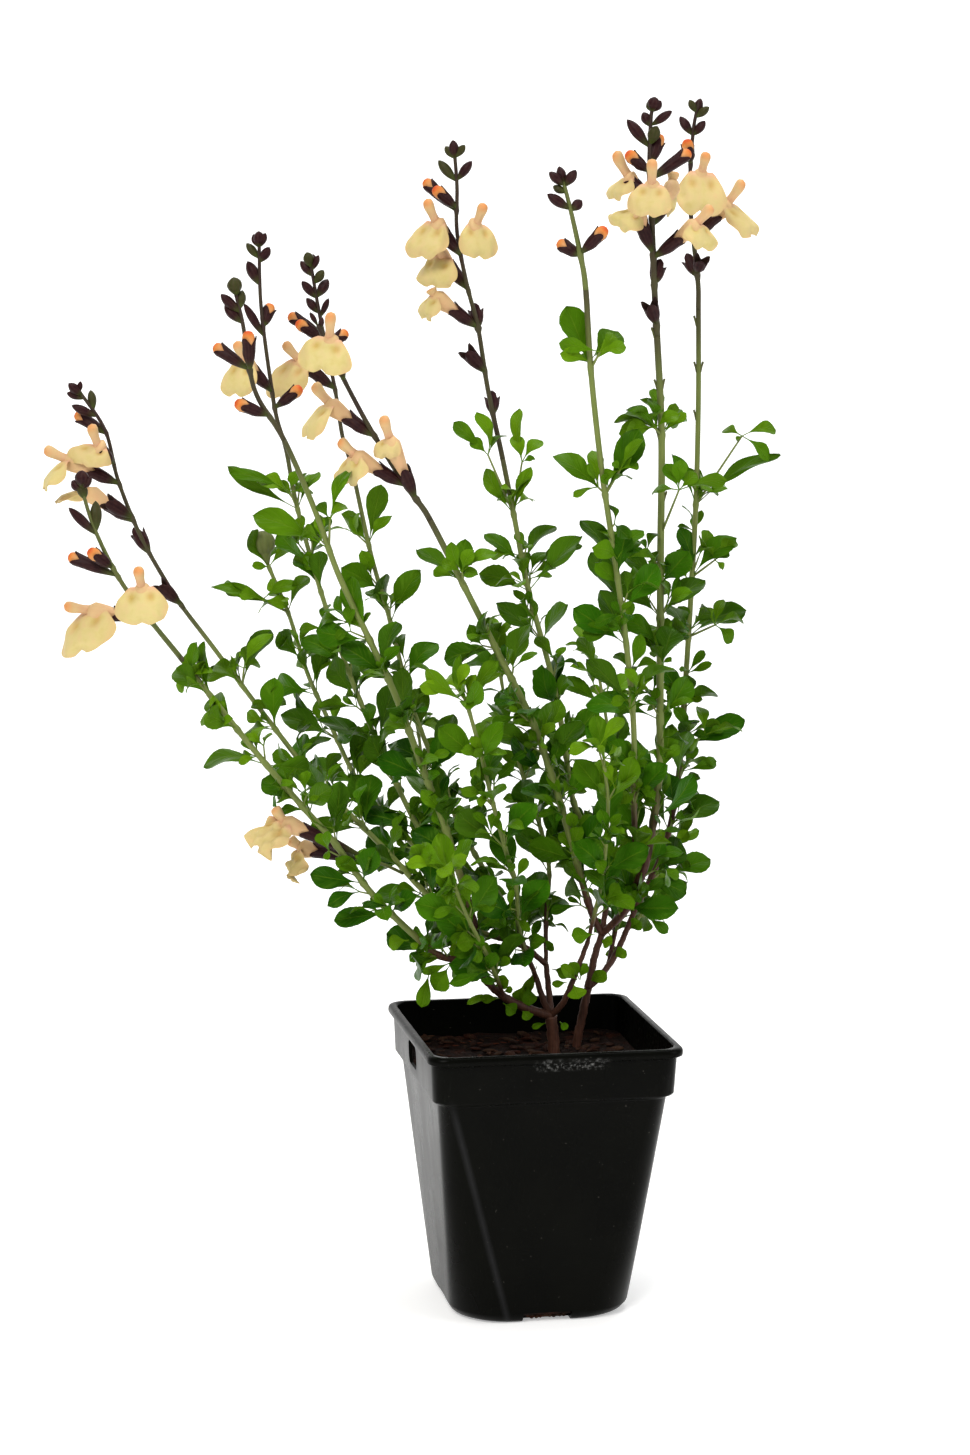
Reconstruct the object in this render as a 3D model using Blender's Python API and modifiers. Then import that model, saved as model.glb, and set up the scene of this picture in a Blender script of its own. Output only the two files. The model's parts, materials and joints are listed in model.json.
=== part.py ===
"""A flowering perennial salvia in its square nursery pot, as separate closed solids.

Metres, +Z up. The origin is the middle of the pot's underside, and the pot's sides run along X and Y. The
plant is laid out from its front view: a place on it is written as a pixel of a picture 970 wide and 1455 high
and a depth in millimetres behind the pot's middle, and spot() turns that into a place in space.
"""

import math
from collections import namedtuple

import bmesh
import bpy
import numpy as np
from mathutils import Matrix, Vector
from mathutils.bvhtree import BVHTree

# Pot, in metres
POT_WIDE = 0.135  # across the rim
POT_HIGH = 0.1486
POT_WALL = 0.0016
POT_FLOOR = 0.003
FOOT_WIDE = 0.0954  # across the foot, to the corners that its sides would meet in
FOOT_CORNER = 0.027  # radius of a corner at the foot
RIM_CORNER = 0.010  # radius of a corner at the rim
RIM_TALL = 0.0048
RIM_LIP = 0.0026  # how far the rolled rim stands out
COLLAR_TALL = 0.0205  # from the rim's underside to the step
COLLAR_STEP = 0.003
EDGE_ROUND = 0.005  # rounding of the pot's bottom edge
SLOT_SIZE = (0.022, 0.0125)  # slot through the collar, wide and tall
RECESS_SIZE = (0.041, 0.0165)  # bare recess on the front of the collar
RECESS_DEEP = 0.0005
DRAIN_SIZE = (0.026, 0.012, 0.0055)  # opening in the bottom edge: wide, deep, tall

# Soil, in metres
GAP = 0.0003  # clear space between pieces that touch
SOIL_TOP = 0.129
SOIL_ROUGH = 0.0012
TRUNK_SUNK = 0.034  # how far a trunk goes down into the soil

# Front view that the plant is laid out from
VIEW_MIDDLE = (485.0, 727.5)  # pixels
VIEW_FOCAL = 3168.0  # pixels
VIEW_TURN = math.radians(-11.66)
VIEW_TILT = math.radians(8.19)
VIEW_ROLL = math.radians(0.64)
VIEW_AWAY = 1.663  # metres
VIEW_AIM = (-0.0267, 0.3079)  # metres to the right of the origin and above it

# Growth
SEED = 3716
COLLAR = 0.010  # length at the foot of each stem that belongs to what it grows from
LEAF_THICK = 0.0007
LEAF_CLEAR = 0.0008  # room kept round a leaf
LEAF_WIDEST = 0.0155
CALYX_END = 0.0150  # from a flower's stalk end to the mouth of its calyx
CALYX_MOUTH = 0.0036
CALYX_ROOT = 0.0006
RACHIS_SLIM = 0.00085

# Woody branches: crown, what each grows from (none for a trunk), foot and end radius in mm, and its places
# from foot to end. A place is (pixel across, pixel down, millimetres behind the middle of the pot).
Branch = namedtuple("Branch", "crown joins thick slim places")
BRANCHES = {
    "trunk_left": Branch(
        "crown_left", None, 3.6, 3.1,
        [(555.5, 1062, 17), (554, 1052, 18.7), (551, 1016, 18)],
    ),
    "fork_left": Branch(
        "crown_left", "trunk_left", 2.6, 1.9,
        [(551, 1016, 18), (525.5, 1008, 14), (503.8, 996.5, 10), (484, 978, 5), (476, 960, 1)],
    ),
    "fork_up": Branch(
        "crown_left", "trunk_left", 1.9, 1.5,
        [(551, 1016, 18), (543, 999, 18), (536, 977, 20)],
    ),
    "fork_back": Branch(
        "crown_left", "trunk_left", 1.9, 1.5,
        [(551, 1016, 18), (549.5, 998, 22), (546, 964, 26)],
    ),
    "fork_front": Branch(
        "crown_left", "trunk_left", 1.8, 1.3,
        [(551, 1016, 18), (564, 1001, 13), (577, 970, 10), (588, 941, 8)],
    ),
    "trunk_right": Branch(
        "crown_right", None, 2.7, 2.2,
        [(575.5, 1060, 28), (576.5, 1047.5, 29.2), (582, 1017, 29), (588, 988, 30)],
    ),
    "fork_middle": Branch(
        "crown_right", "trunk_right", 2.2, 1.8,
        [(588, 988, 30), (595, 955, 31), (602, 934, 31)],
    ),
    "fork_right": Branch(
        "crown_right", "trunk_right", 1.9, 1.5,
        [(588, 988, 30), (602, 974, 32), (615, 955.7, 35), (626, 931.4, 38), (634, 912, 41)],
    ),
}

# Leafy stems: what each joins, foot and top radius in mm, places from foot to top, and those of its spike.
Stem = namedtuple("Stem", "joins thick slim leafy spike")
STEMS = {
    "far_left": Stem(
        "fork_back", 1.6, 1.15,
        [(546, 958, 26), (519, 944, 17), (473, 929, 9), (427, 894, 8), (397, 862, 9), (369, 833, 14),
         (314, 777.7, 24), (258.4, 707, 33), (207.7, 640, 40), (184, 609, 42)],
        [(165, 580, 43), (140, 535, 45), (118, 480, 46), (105, 430, 46), (77, 388, 44)],
    ),
    "left": Stem(
        "fork_left", 1.7, 1.3,
        [(476, 960, 1), (442.5, 957, -8), (415, 936, -14), (371, 892.5, -20), (333, 841, -26),
         (302, 806, -30), (256.5, 753, -36), (208.7, 693.6, -42), (180, 657, -45)],
        [(150, 620, -47), (120, 580, -49), (95, 530, -50), (81, 487, -50)],
    ),
    "left_tall": Stem(
        "fork_left", 1.9, 1.25,
        [(476, 960, 1), (473, 921, -2), (456, 862, -8), (442, 818, -14), (424.9, 774, -20), (396, 697, -30),
         (369.6, 640, -36), (339, 575.7, -42), (314, 508, -46), (284, 440, -49)],
        [(258, 398, -50), (248.7, 365, -50), (243, 325, -49), (234, 287, -48)],
    ),
    "left_back": Stem(
        "left_tall", 1.4, 1.1,
        [(468.5, 905, -4), (455, 885, 6), (440, 862, 16), (413, 818, 28), (377, 741, 39), (348, 670, 48),
         (321, 592, 56), (297.3, 508, 62), (286, 449.6, 64)],
        [(277, 419, 65), (270.7, 382.6, 66), (261, 306, 66), (259, 239, 65)],
    ),
    "seed_head": Stem(
        "left_tall", 1.4, 1.0,
        [(472, 920, -2), (463, 902, 5), (446, 880, 15), (428, 860, 24), (405, 836, 34), (386, 815, 45),
         (358, 782, 58), (327, 717, 71), (307, 672, 79), (289, 615, 85), (268, 565, 89)],
        [],
    ),
    "thin_back": Stem(
        "fork_up", 1.4, 1.1,
        [(536, 977, 20), (515, 925, 36), (490, 880, 50), (462, 830, 64), (435, 765, 78), (410, 700, 88),
         (391, 624, 94), (371.4, 556, 98), (352, 468.7, 99)],
        [(342.4, 436, 99), (334.8, 388, 99), (321, 322, 98), (309, 254, 95)],
    ),
    "main": Stem(
        "fork_middle", 1.8, 1.45,
        [(602, 934, 31), (590, 908, 25), (570, 837, 14), (554, 783, 6), (531.8, 720, -4), (496, 649, -15),
         (464, 586, -24), (430, 520, -32)],
        [(419, 503, -34), (403.7, 482, -36), (371, 430, -39), (340, 372, -41), (316, 322, -42)],
    ),
    "centre_back": Stem(
        "fork_middle", 1.5, 1.3,
        [(602, 934, 31), (608, 880, 42), (592, 840, 48), (573, 800, 52), (564, 739.6, 55), (551.4, 675.4, 58),
         (528, 588, 61), (514.8, 520, 61), (502.7, 459, 60)],
        [(488, 390, 58), (478, 327.6, 55), (467, 285, 52), (457, 231.6, 49), (457, 187, 47),
         (453.6, 142, 45)],
    ),
    "right_tall": Stem(
        "fork_middle", 2.0, 1.6,
        [(602, 934, 31), (624, 911.8, 23), (636.4, 885, 17), (647, 858, 12), (658.8, 778, 3), (660, 700, -3),
         (660.5, 563.7, -10), (661.6, 437, -16), (657, 336, -19)],
        [(654.5, 290, -20), (652.5, 233, -21), (649.4, 172, -21), (651, 118, -20), (654.8, 100, -20)],
    ),
    "bud_stem": Stem(
        "right_tall", 1.4, 1.35,
        [(638.4, 880, 16), (635.5, 855, 4), (634, 800, -8), (633.6, 725, -18), (626.4, 645, -29),
         (614, 553, -42), (601.6, 469, -54), (591, 372, -62), (585.8, 290, -66)],
        [(580.6, 256, -67), (570.6, 210, -67), (560, 169, -66)],
    ),
    "right_back": Stem(
        "fork_right", 1.5, 1.3,
        [(634, 912, 41), (650, 880, 50), (666.8, 840, 58), (679.3, 769, 68), (685, 690, 76), (691, 595, 82),
         (696, 500, 86), (698.4, 400, 88), (698.4, 309.6, 88)],
        [(697.7, 279, 88), (690, 200, 86), (693, 133.6, 84), (699, 101, 82)],
    ),
    "light_front": Stem(
        "fork_up", 1.3, 0.9,
        [(536, 977, 20), (520, 935, 0), (516, 885, -18), (506.9, 854.6, -28), (491.8, 799, -42),
         (480, 750, -52), (466, 700, -60)],
        [],
    ),
    "centre_rear": Stem(
        "fork_back", 1.2, 0.8,
        [(546, 964, 26), (546, 919, 36), (549, 867, 44), (538, 820, 54), (524, 780, 62), (512, 735, 70),
         (503, 690, 77), (497, 650, 82)],
        [],
    ),
    "right_rear": Stem(
        "fork_right", 1.2, 0.8,
        [(607, 967, 33), (616, 925, 52), (622, 870, 70), (618, 800, 86), (608, 730, 100), (598, 670, 110)],
        [],
    ),
    "right_front": Stem(
        "fork_front", 1.1, 0.8,
        [(588, 941, 8), (600, 890, -8), (606, 845, -24), (608, 800, -38), (604, 765, -50)],
        [],
    ),
    "left_rear": Stem(
        "fork_left", 1.2, 0.8,
        [(484, 978, 5), (470, 930, 28), (450, 872, 54), (434, 820, 78), (424, 772, 100), (418, 730, 116)],
        [],
    ),
    "low_front": Stem(
        "fork_left", 1.1, 0.8,
        [(503.8, 996.5, 10), (490, 962, -18), (474, 930, -40), (460, 900, -58), (450, 872, -74)],
        [],
    ),
    "low_right": Stem(
        "fork_right", 1.1, 0.8,
        [(626, 931.4, 38), (643, 912, 56), (660, 884, 74), (672, 850, 88)],
        [],
    ),
    "low_left": Stem(
        "far_left", 0.9, 0.8,
        [(411, 878, 6), (400, 872, -2)],
        [(385, 865, -12), (364, 858, -20)],
    ),
}

# Pairs of leaves read off the view: stem, pixel row of the node, tip of the left leaf, tip of the right one.
PAIRS = [
    ("far_left", 686, (216, 659), (270, 626)),
    ("far_left", 730, (247, 726), (274, 677)),
    ("far_left", 770, (280, 762), (300, 744)),
    ("left", 697, (181, 666), (203, 641)),
    ("left", 765, (199, 756), (308, 776)),
    ("left", 807, (261, 776), (330, 785)),
    ("left", 883, (310, 874), (374, 845)),
    ("left", 913, (334, 921), (412, 890)),
    ("left_tall", 549, (251, 513), (346, 458)),
    ("left_tall", 640, (312, 631), (348, 575)),
    ("left_tall", 861, (411, 827), (478, 820)),
    ("left_back", 509, (227, 466), (317, 470)),
    ("left_back", 592, (295, 552), (320, 549)),
    ("left_back", 671, (301, 634), (350, 643)),
    ("seed_head", 612, (211, 586), (309, 572)),
    ("seed_head", 662, (281, 628), (328, 640)),
    ("seed_head", 740, (279, 711), (352, 729)),
    ("thin_back", 545, (344, 520), (381, 482)),
    ("thin_back", 623, (381, 570), (420, 568)),
    ("main", 586, (416, 549), (464, 537)),
    ("main", 649, (444, 662), (479, 608)),
    ("main", 750, (494, 729), (556, 700)),
    ("main", 807, (520, 790), (594, 763)),
    ("centre_back", 514, (481, 466), (531, 466)),
    ("centre_back", 591, (478, 572), (582, 536)),
    ("centre_back", 643, (496, 603), (565, 612)),
    ("bud_stem", 369, (566, 306), (619, 330)),
    ("bud_stem", 495, (553, 452), (640, 427)),
    ("bud_stem", 577, (581, 519), (627, 523)),
    ("bud_stem", 645, (573, 608), (600, 590)),
    ("bud_stem", 774, (586, 726), (604, 728)),
    ("right_tall", 436, (628, 412), (678, 418)),
    ("right_tall", 585, (618, 551), (687, 549)),
    ("right_tall", 648, (627, 613), (690, 620)),
    ("right_tall", 720, (584, 701), (690, 678)),
    ("right_tall", 778, (632, 752), (671, 726)),
    ("right_tall", 878, (610, 815), (690, 893)),
    ("right_back", 505, (672, 454), (781, 446)),
    ("right_back", 577, (680, 527), (737, 535)),
    ("right_back", 637, (669, 605), (747, 609)),
    ("right_back", 709, (664, 668), (711, 687)),
    ("right_back", 748, (690, 715), (745, 720)),
    ("right_back", 808, (668, 770), (702, 794)),
]

# Open flowers read off the view: stem, pixel row of the stalk, mouth, tip of the hood, end of the lower lip, width
# of the lip in pixels, how many millimetres nearer to the view than its stalk the mouth is, and how far the flower
# turns to the view, from 0 for sideways to 1.
FLOWERS = [
    ("far_left", 484, (66, 460), (44, 448), (42, 487), 42, 3, 0.1),
    ("far_left", 464, (97, 446), (93, 424), (83, 464), 40, 9, 0.5),
    ("far_left", 522, (88, 492), (76, 478), (57, 499), 34, -8, 0.1),
    ("left", 622, (141, 587), (139, 566), (143, 622), 53, 17, 1.0),
    ("left", 618, (90, 611), (67, 604), (85, 651), 42, -5, 0.6),
    ("left_back", 392, (244, 361), (238, 341), (237, 395), 34, 10, 0.6),
    ("main", 380, (329, 338), (333, 312), (322, 372), 54, 17, 0.9),
    ("thin_back", 389, (298, 360), (286, 342), (281, 398), 36, 8, 0.5),
    ("main", 437, (328, 404), (316, 383), (307, 436), 36, -6, 0.4),
    ("main", 486, (354, 456), (340, 439), (346, 485), 34, 2, 0.2),
    ("main", 499, (389, 439), (385, 415), (386, 457), 28, 10, 0.9),
    ("centre_back", 256, (435, 222), (429, 199), (424, 257), 42, 8, 0.9),
    ("centre_back", 248, (477, 224), (483, 203), (478, 257), 40, 13, 0.9),
    ("centre_back", 290, (442, 257), (439, 246), (434, 286), 34, -9, 0.4),
    ("centre_back", 328, (434, 296), (431, 288), (424, 318), 30, 4, 0.3),
    ("right_tall", 198, (627, 178), (619, 151), (614, 197), 34, -5, 0.5),
    ("right_tall", 218, (652, 184), (652, 159), (648, 215), 44, 20, 1.0),
    ("right_tall", 226, (674, 184), (671, 171), (667, 216), 33, -23, 0.5),
    ("right_tall", 254, (636, 212), (634, 200), (618, 226), 34, 5, 0.4),
    ("right_tall", 258, (698, 224), (710, 205), (703, 248), 34, 6, 0.5),
    ("right_back", 210, (702, 172), (706, 152), (699, 214), 54, 20, 1.0),
    ("right_back", 238, (729, 204), (740, 180), (750, 235), 36, -4, 0.5),
    ("low_left", 862, (283, 822), (276, 807), (257, 849), 38, 12, 0.5),
    ("low_left", 861, (300, 848), (290, 838), (292, 879), 32, -8, 0.3),
]

# Orange buds about to open: stem, pixel row of the stalk, tip.
OPENING = [
    ("thin_back", 336, (288, 315)),
    ("thin_back", 340, (297, 322)),
    ("thin_back", 346, (347, 332)),
    ("left_tall", 416, (236, 402)),
    ("left_tall", 370, (213, 346)),
    ("left_tall", 372, (249, 331)),
    ("left_back", 327, (270, 304)),
    ("left_back", 408, (302, 387)),
    ("centre_back", 211, (424, 180)),
    ("centre_back", 208, (434, 188)),
    ("bud_stem", 256, (558, 242)),
    ("bud_stem", 254, (606, 228)),
    ("right_tall", 166, (661, 134)),
    ("right_tall", 172, (626, 153)),
    ("right_tall", 180, (691, 151)),
    ("right_back", 164, (686, 140)),
    ("left", 576, (67, 557)),
    ("left", 568, (90, 549)),
    ("far_left", 434, (74, 414)),
]

# Empty three-pointed calyces: stem, pixel row of the stalk, tip.
SPENT = [
    ("centre_back", 328, (475, 306)),
    ("centre_back", 372, (464, 348)),
    ("centre_back", 414, (492, 394)),
    ("far_left", 517, (105, 499)),
    ("far_left", 553, (134, 530)),
    ("far_left", 604, (158, 581)),
    ("right_tall", 284, (660, 262)),
    ("right_tall", 324, (648, 300)),
    ("right_back", 276, (688, 256)),
    ("right_back", 272, (702, 256)),
]

# Closed dark buds of each spike: pixel row of the foot, tip, width in pixels.
CLOSED = {
    "far_left": [(396, 69, 383, 9), (399, 66, 393, 8), (392, 81, 381, 5), (411, 90, 390, 9), (417, 72, 405, 9)],
    "left": [
        (488, 83, 470, 13), (492, 71, 481, 9), (490, 92, 477, 7), (500, 80, 484, 10), (536, 69, 507, 9),
        (533, 95, 501, 10),
    ],
    "left_tall": [(296, 234, 277, 14), (310, 242, 290, 8), (313, 221, 294, 9), (324, 224, 305, 10)],
    "left_back": [
        (248, 259, 231, 11), (248, 253, 234, 8), (248, 266, 233, 8), (259, 246, 243, 8), (263, 270, 247, 9),
        (286, 247, 261, 11), (338, 244, 303, 8),
    ],
    "thin_back": [
        (268, 307, 252, 10), (268, 313, 254, 8), (271, 319, 255, 7), (277, 300, 261, 8), (284, 324, 270, 9),
        (298, 328, 279, 11), (299, 302, 281, 9), (314, 306, 298, 9), (318, 329, 298, 6),
    ],
    "main": [(326, 310, 312, 5), (330, 322, 317, 5)],
    "centre_back": [
        (160, 453, 140, 9), (159, 445, 146, 8), (158, 465, 145, 8), (182, 438, 160, 9), (181, 472, 161, 9),
    ],
    "right_tall": [
        (112, 655, 97, 12), (112, 649, 101, 8), (112, 661, 101, 8), (127, 643, 112, 9), (126, 672, 111, 8),
        (148, 627, 119, 10), (145, 657, 126, 11),
    ],
    "bud_stem": [
        (186, 549, 172, 9), (186, 559, 166, 9), (187, 576, 170, 9), (193, 553, 186, 8), (210, 547, 194, 9),
        (211, 582, 200, 9),
    ],
    "right_back": [
        (113, 689, 100, 7), (116, 701, 98, 9), (118, 709, 107, 8), (136, 680, 116, 9), (136, 705, 121, 9),
    ],
}

SEED_HEAD = (263, 543, 89)  # place of the middle of the round seed head
SEED_HEAD_WIDE = 0.0125

Leaf = namedtuple("Leaf", "stem place root along face long wide bow fold wave")


def unit(vector):
    return vector / np.linalg.norm(vector)


def view_axes():
    """The view's eye point and its unit vectors: forward, right, up, and forward along the ground."""
    back = np.array(
        [
            math.sin(VIEW_TURN) * math.cos(VIEW_TILT),
            -math.cos(VIEW_TURN) * math.cos(VIEW_TILT),
            math.sin(VIEW_TILT),
        ]
    )
    level_right = unit(np.cross(-back, (0, 0, 1)))
    level_up = np.cross(level_right, -back)
    right = math.cos(VIEW_ROLL) * level_right + math.sin(VIEW_ROLL) * level_up
    up = math.cos(VIEW_ROLL) * level_up - math.sin(VIEW_ROLL) * level_right
    eye = np.array([0, 0, VIEW_AIM[1]]) + level_right * VIEW_AIM[0] + back * VIEW_AWAY
    inward = np.array([-math.sin(VIEW_TURN), math.cos(VIEW_TURN), 0])
    return eye, -back, right, up, inward


EYE, FORWARD, RIGHT, UP, INWARD = view_axes()


def spot(across, down, depth):
    """The place seen at a pixel, on the upright plane that lies depth metres behind the pot's middle."""
    ray = FORWARD + (across - VIEW_MIDDLE[0]) / VIEW_FOCAL * RIGHT - (down - VIEW_MIDDLE[1]) / VIEW_FOCAL * UP
    return EYE + ray * ((depth - EYE @ INWARD) / (ray @ INWARD))


def row_of(points):
    """The pixel row at which each place is seen."""
    offset = points - EYE
    return VIEW_MIDDLE[1] - VIEW_FOCAL * (offset @ UP) / (offset @ FORWARD)


class Route:
    """A smooth curve through places in space (Catmull-Rom), measured along its length."""

    STEPS = 16

    def __init__(self, ends):
        ends = np.vstack([2 * ends[0] - ends[1], ends, 2 * ends[-1] - ends[-2]])
        t = np.linspace(0, 1, self.STEPS, endpoint=False)[:, None]
        spans = []
        for a, b, c, d in zip(ends, ends[1:], ends[2:], ends[3:]):
            cubic = (3 * b - a - 3 * c + d) * t**3 + (2 * a - 5 * b + 4 * c - d) * t**2
            spans.append(0.5 * (2 * b + (c - a) * t + cubic))
        self.points = np.vstack([*spans, ends[-2:-1]])
        steps = np.linalg.norm(np.diff(self.points, axis=0), axis=1)
        self.reach = np.concatenate([[0], np.cumsum(steps)])
        self.long = self.reach[-1]
        self.rows = row_of(self.points)

    def at(self, along):
        return np.stack([np.interp(along, self.reach, self.points[:, k]) for k in range(3)], axis=-1)

    def heading(self, along):
        return unit(self.at(min(along + 0.002, self.long)) - self.at(max(along - 0.002, 0)))

    def on_row(self, row):
        """How far along the curve it is last seen at this pixel row."""
        return float(np.interp(-row, -self.rows, self.reach))


def lay_routes():
    """Routes of branches and stems, each foot on the middle of what it joins, and where each spike begins."""
    routes, spike_from = {}, {}
    for name, plan in [*BRANCHES.items(), *STEMS.items()]:
        leafy = plan.places if isinstance(plan, Branch) else plan.leafy
        spike = [] if isinstance(plan, Branch) else plan.spike
        ends = np.array([spot(u, v, depth / 1000) for u, v, depth in [*leafy, *spike]])
        if plan.joins is None:
            ends = np.vstack([ends[0] + (0.0, 0.0, SOIL_TOP - TRUNK_SUNK - ends[0][2]), ends[1:]])
        else:
            host = routes[plan.joins]
            ends[0] = host.at(host.on_row(leafy[0][1]))
        routes[name] = Route(ends)
        if spike:
            spike_from[name] = float(routes[name].reach[Route.STEPS * (len(leafy) - 1)])
    return routes, spike_from


ROUTES, SPIKE_FROM = lay_routes()


def thickness(name, along):
    """Radius of a branch or stem, in metres: even taper from foot to top, and a slim rachis in the spike."""
    plan = {**BRANCHES, **STEMS}[name]
    end = SPIKE_FROM.get(name, ROUTES[name].long)
    taper = np.clip(np.asarray(along) / end, 0, 1)
    radius = (plan.thick + (plan.slim - plan.thick) * taper) / 1000
    past = np.clip((np.asarray(along) - end) / max(ROUTES[name].long - end, 1e-6), 0, 1)
    return radius + (RACHIS_SLIM - radius) * past


def leaf_points(leaf, t, s):
    """Middle surface of a leaf: t runs from root to tip and s from edge to edge.

    The half width is a thin stalk that opens into a sine lobe widest past its middle. The blade bows along its
    length, folds up from the midrib and waves at its edges.
    """
    t, s = np.asarray(t, float)[:, None], np.asarray(s, float)[None, :]
    blade = np.clip((t - LEAF_STALK) / (1 - LEAF_STALK), 0, 1)
    half = LEAF_STALK_HALF + leaf.wide / 2 * np.sin(math.pi * blade**LEAF_SPREAD) ** 0.7
    rise = leaf.long * leaf.bow * np.sin(math.pi * t)
    rise = rise + half * (leaf.fold * np.abs(s) + leaf.wave * s * np.sin(7 * t + 2 * leaf.fold))
    side = np.cross(leaf.along, leaf.face)
    spread = (half * s)[..., None] * side
    return leaf.root + (leaf.long * t)[..., None] * leaf.along + spread + rise[..., None] * leaf.face


LEAF_STALK = 0.20
LEAF_STALK_HALF = 0.0006
LEAF_SPREAD = 1.4
LEAF_ROWS = (0.45, 0.77)
LEAF_RING = 4


def leaf_solid(leaf, root_share=0.0, room=0.0):
    """Points of a leaf from its root point through two flat rings of four to its tip point."""
    rise = leaf.face * (LEAF_THICK / 2 + room)
    root, tip = leaf_points(leaf, (root_share, 1.0), (0,))[:, 0]
    points = [root]
    for row in leaf_points(leaf, LEAF_ROWS, (-1, 1)):
        points += [*(row + rise), *(row[::-1] - rise)]
    return np.array([*points, tip])


def leaf_faces():
    """Triangles between a leaf's root, its two rings and its tip, split alike on both faces."""
    first, second, tip = 1, 1 + LEAF_RING, 1 + 2 * LEAF_RING
    faces = []
    for k in range(LEAF_RING):
        j = (k + 1) % LEAF_RING
        faces += [(0, first + k, first + j), (tip, second + j, second + k)]
        if k == 0:
            faces += [(first + k, second + k, second + j), (first + k, second + j, first + j)]
        else:
            faces += [(first + k, second + k, first + j), (second + k, second + j, first + j)]
    return faces


LEAF_FACES = leaf_faces()


def leaf_tree(leaf):
    """A search tree of the leaf with the clear room round it, without its root."""
    points = [Vector(p) for p in leaf_solid(leaf, 0.08, LEAF_CLEAR)]
    return BVHTree.FromPolygons(points, LEAF_FACES, all_triangles=True)


def tube_tree(points, radii):
    """A search tree of a square tube with the clear room round it."""
    corners, faces = [], []
    for k, (point, radius) in enumerate(zip(points, radii)):
        ahead = unit(points[min(k + 1, len(points) - 1)] - points[max(k - 1, 0)])
        side = unit(np.cross(ahead, INWARD))
        front = np.cross(ahead, side)
        wide = radius + 2 * LEAF_CLEAR
        for a, b in ((1, 0), (0, 1), (-1, 0), (0, -1)):
            corners.append(Vector(point + wide * (a * side + b * front)))
        if k:
            for j in range(4):
                here, there = 4 * k + j, 4 * k + (j + 1) % 4
                faces += [(here - 4, there - 4, there), (here - 4, there, here)]
    return BVHTree.FromPolygons(corners, faces, all_triangles=True)


def stem_obstacles():
    found = []
    for name, route in ROUTES.items():
        places = np.linspace(0, route.long, max(3, int(route.long / 0.012)))
        tree = tube_tree(route.at(places), thickness(name, places))
        found.append((name, tree))
    return found


def flower_obstacles(flowers):
    """A rough hull round each flower, from its stalk past its mouth to hood and lip."""
    found = []
    for flower in flowers:
        ahead = flower.mouth + flower.out * 0.001
        face_radii = (flower.wide * 0.4, flower.wide * 0.5, 0.004)
        found.append(("flower", tube_tree(np.array([flower.root, ahead]), (0.002, 0.004))))
        found.append(("flower", tube_tree(np.array([flower.lip, ahead, flower.hood]), face_radii)))
    return found


def across(heading, angle):
    """Unit vector square to a heading, turned by an angle from the view's right."""
    right = unit(np.cross(heading, INWARD))
    front = np.cross(heading, right)
    return math.cos(angle) * right + math.sin(angle) * front


def blade_face(along, heading, root, draw):
    """Which way a blade faces: up its stem, out from the plant and to the light in front or behind, mixed."""
    out = np.array([root[0], root[1], 0.0]) + 1e-6
    light = -INWARD if draw[0] < 0.72 else INWARD
    mix = 0.6 * heading + 0.25 * unit(out) + 0.5 * light + 0.9 * (draw[1:4] - 0.5)
    return unit(mix - (mix @ along) * along)


def shaped_leaf(stem, place, along, long, draw):
    root, heading = ROUTES[stem].at(place), ROUTES[stem].heading(place)
    face = blade_face(along, heading, root, draw)
    wide = min(long * (0.42 + 0.12 * draw[4]), LEAF_WIDEST)
    bow, fold, wave = 0.03 + 0.10 * draw[5], 0.12 + 0.25 * draw[6], 0.10 * (draw[7] - 0.5)
    return Leaf(stem, place, root, along, face, long, wide, bow, fold, wave)


def middle_of(leaf):
    return leaf.root + leaf.along * leaf.long / 2


def clear_of(leaf, grown, stems):
    """Whether a leaf stays clear of every other leaf and of every stem but its own."""
    tree = leaf_tree(leaf)
    for other, other_tree in grown:
        apart = np.linalg.norm(middle_of(other) - middle_of(leaf))
        if apart < (other.long + leaf.long) * 0.62 and tree.overlap(other_tree):
            return None
    for name, stem_tree in stems:
        if name != leaf.stem and tree.overlap(stem_tree):
            return None
    return tree


def settle(candidates, grown, stems):
    """Keeps the first candidate that is clear, if any is."""
    for leaf in candidates:
        tree = clear_of(leaf, grown, stems)
        if tree:
            grown.append((leaf, tree))
            return


def read_leaves(grown, stems):
    """Leaves whose tips were read off the view: each tip is as deep as its length asks for."""
    for k, (stem, row, *tips) in enumerate(PAIRS):
        rng = np.random.default_rng((SEED, 1, k))
        route = ROUTES[stem]
        place = route.on_row(row)
        root = route.at(place)
        depth = root @ INWARD
        side = 1 if rng.random() < 0.5 else -1
        for tip in tips:
            flat = spot(*tip, depth) - root
            draw = rng.random(8)
            tries = []
            for stretch in (1.0, 0.9, 0.8):
                reach = max(np.linalg.norm(flat) * stretch, 0.024 + 0.006 * draw[0])
                deep = math.sqrt(reach**2 - (np.linalg.norm(flat) * stretch) ** 2)
                for lean in (side, -side, 0.5 * side, -0.5 * side):
                    along = unit(flat * stretch + lean * min(deep, 0.016) * INWARD)
                    for turn in (draw, np.roll(draw, 3), np.roll(draw, 5)):
                        tries.append(shaped_leaf(stem, place, along, reach, turn))
            settle(tries, grown, stems)
            side = -side


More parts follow.
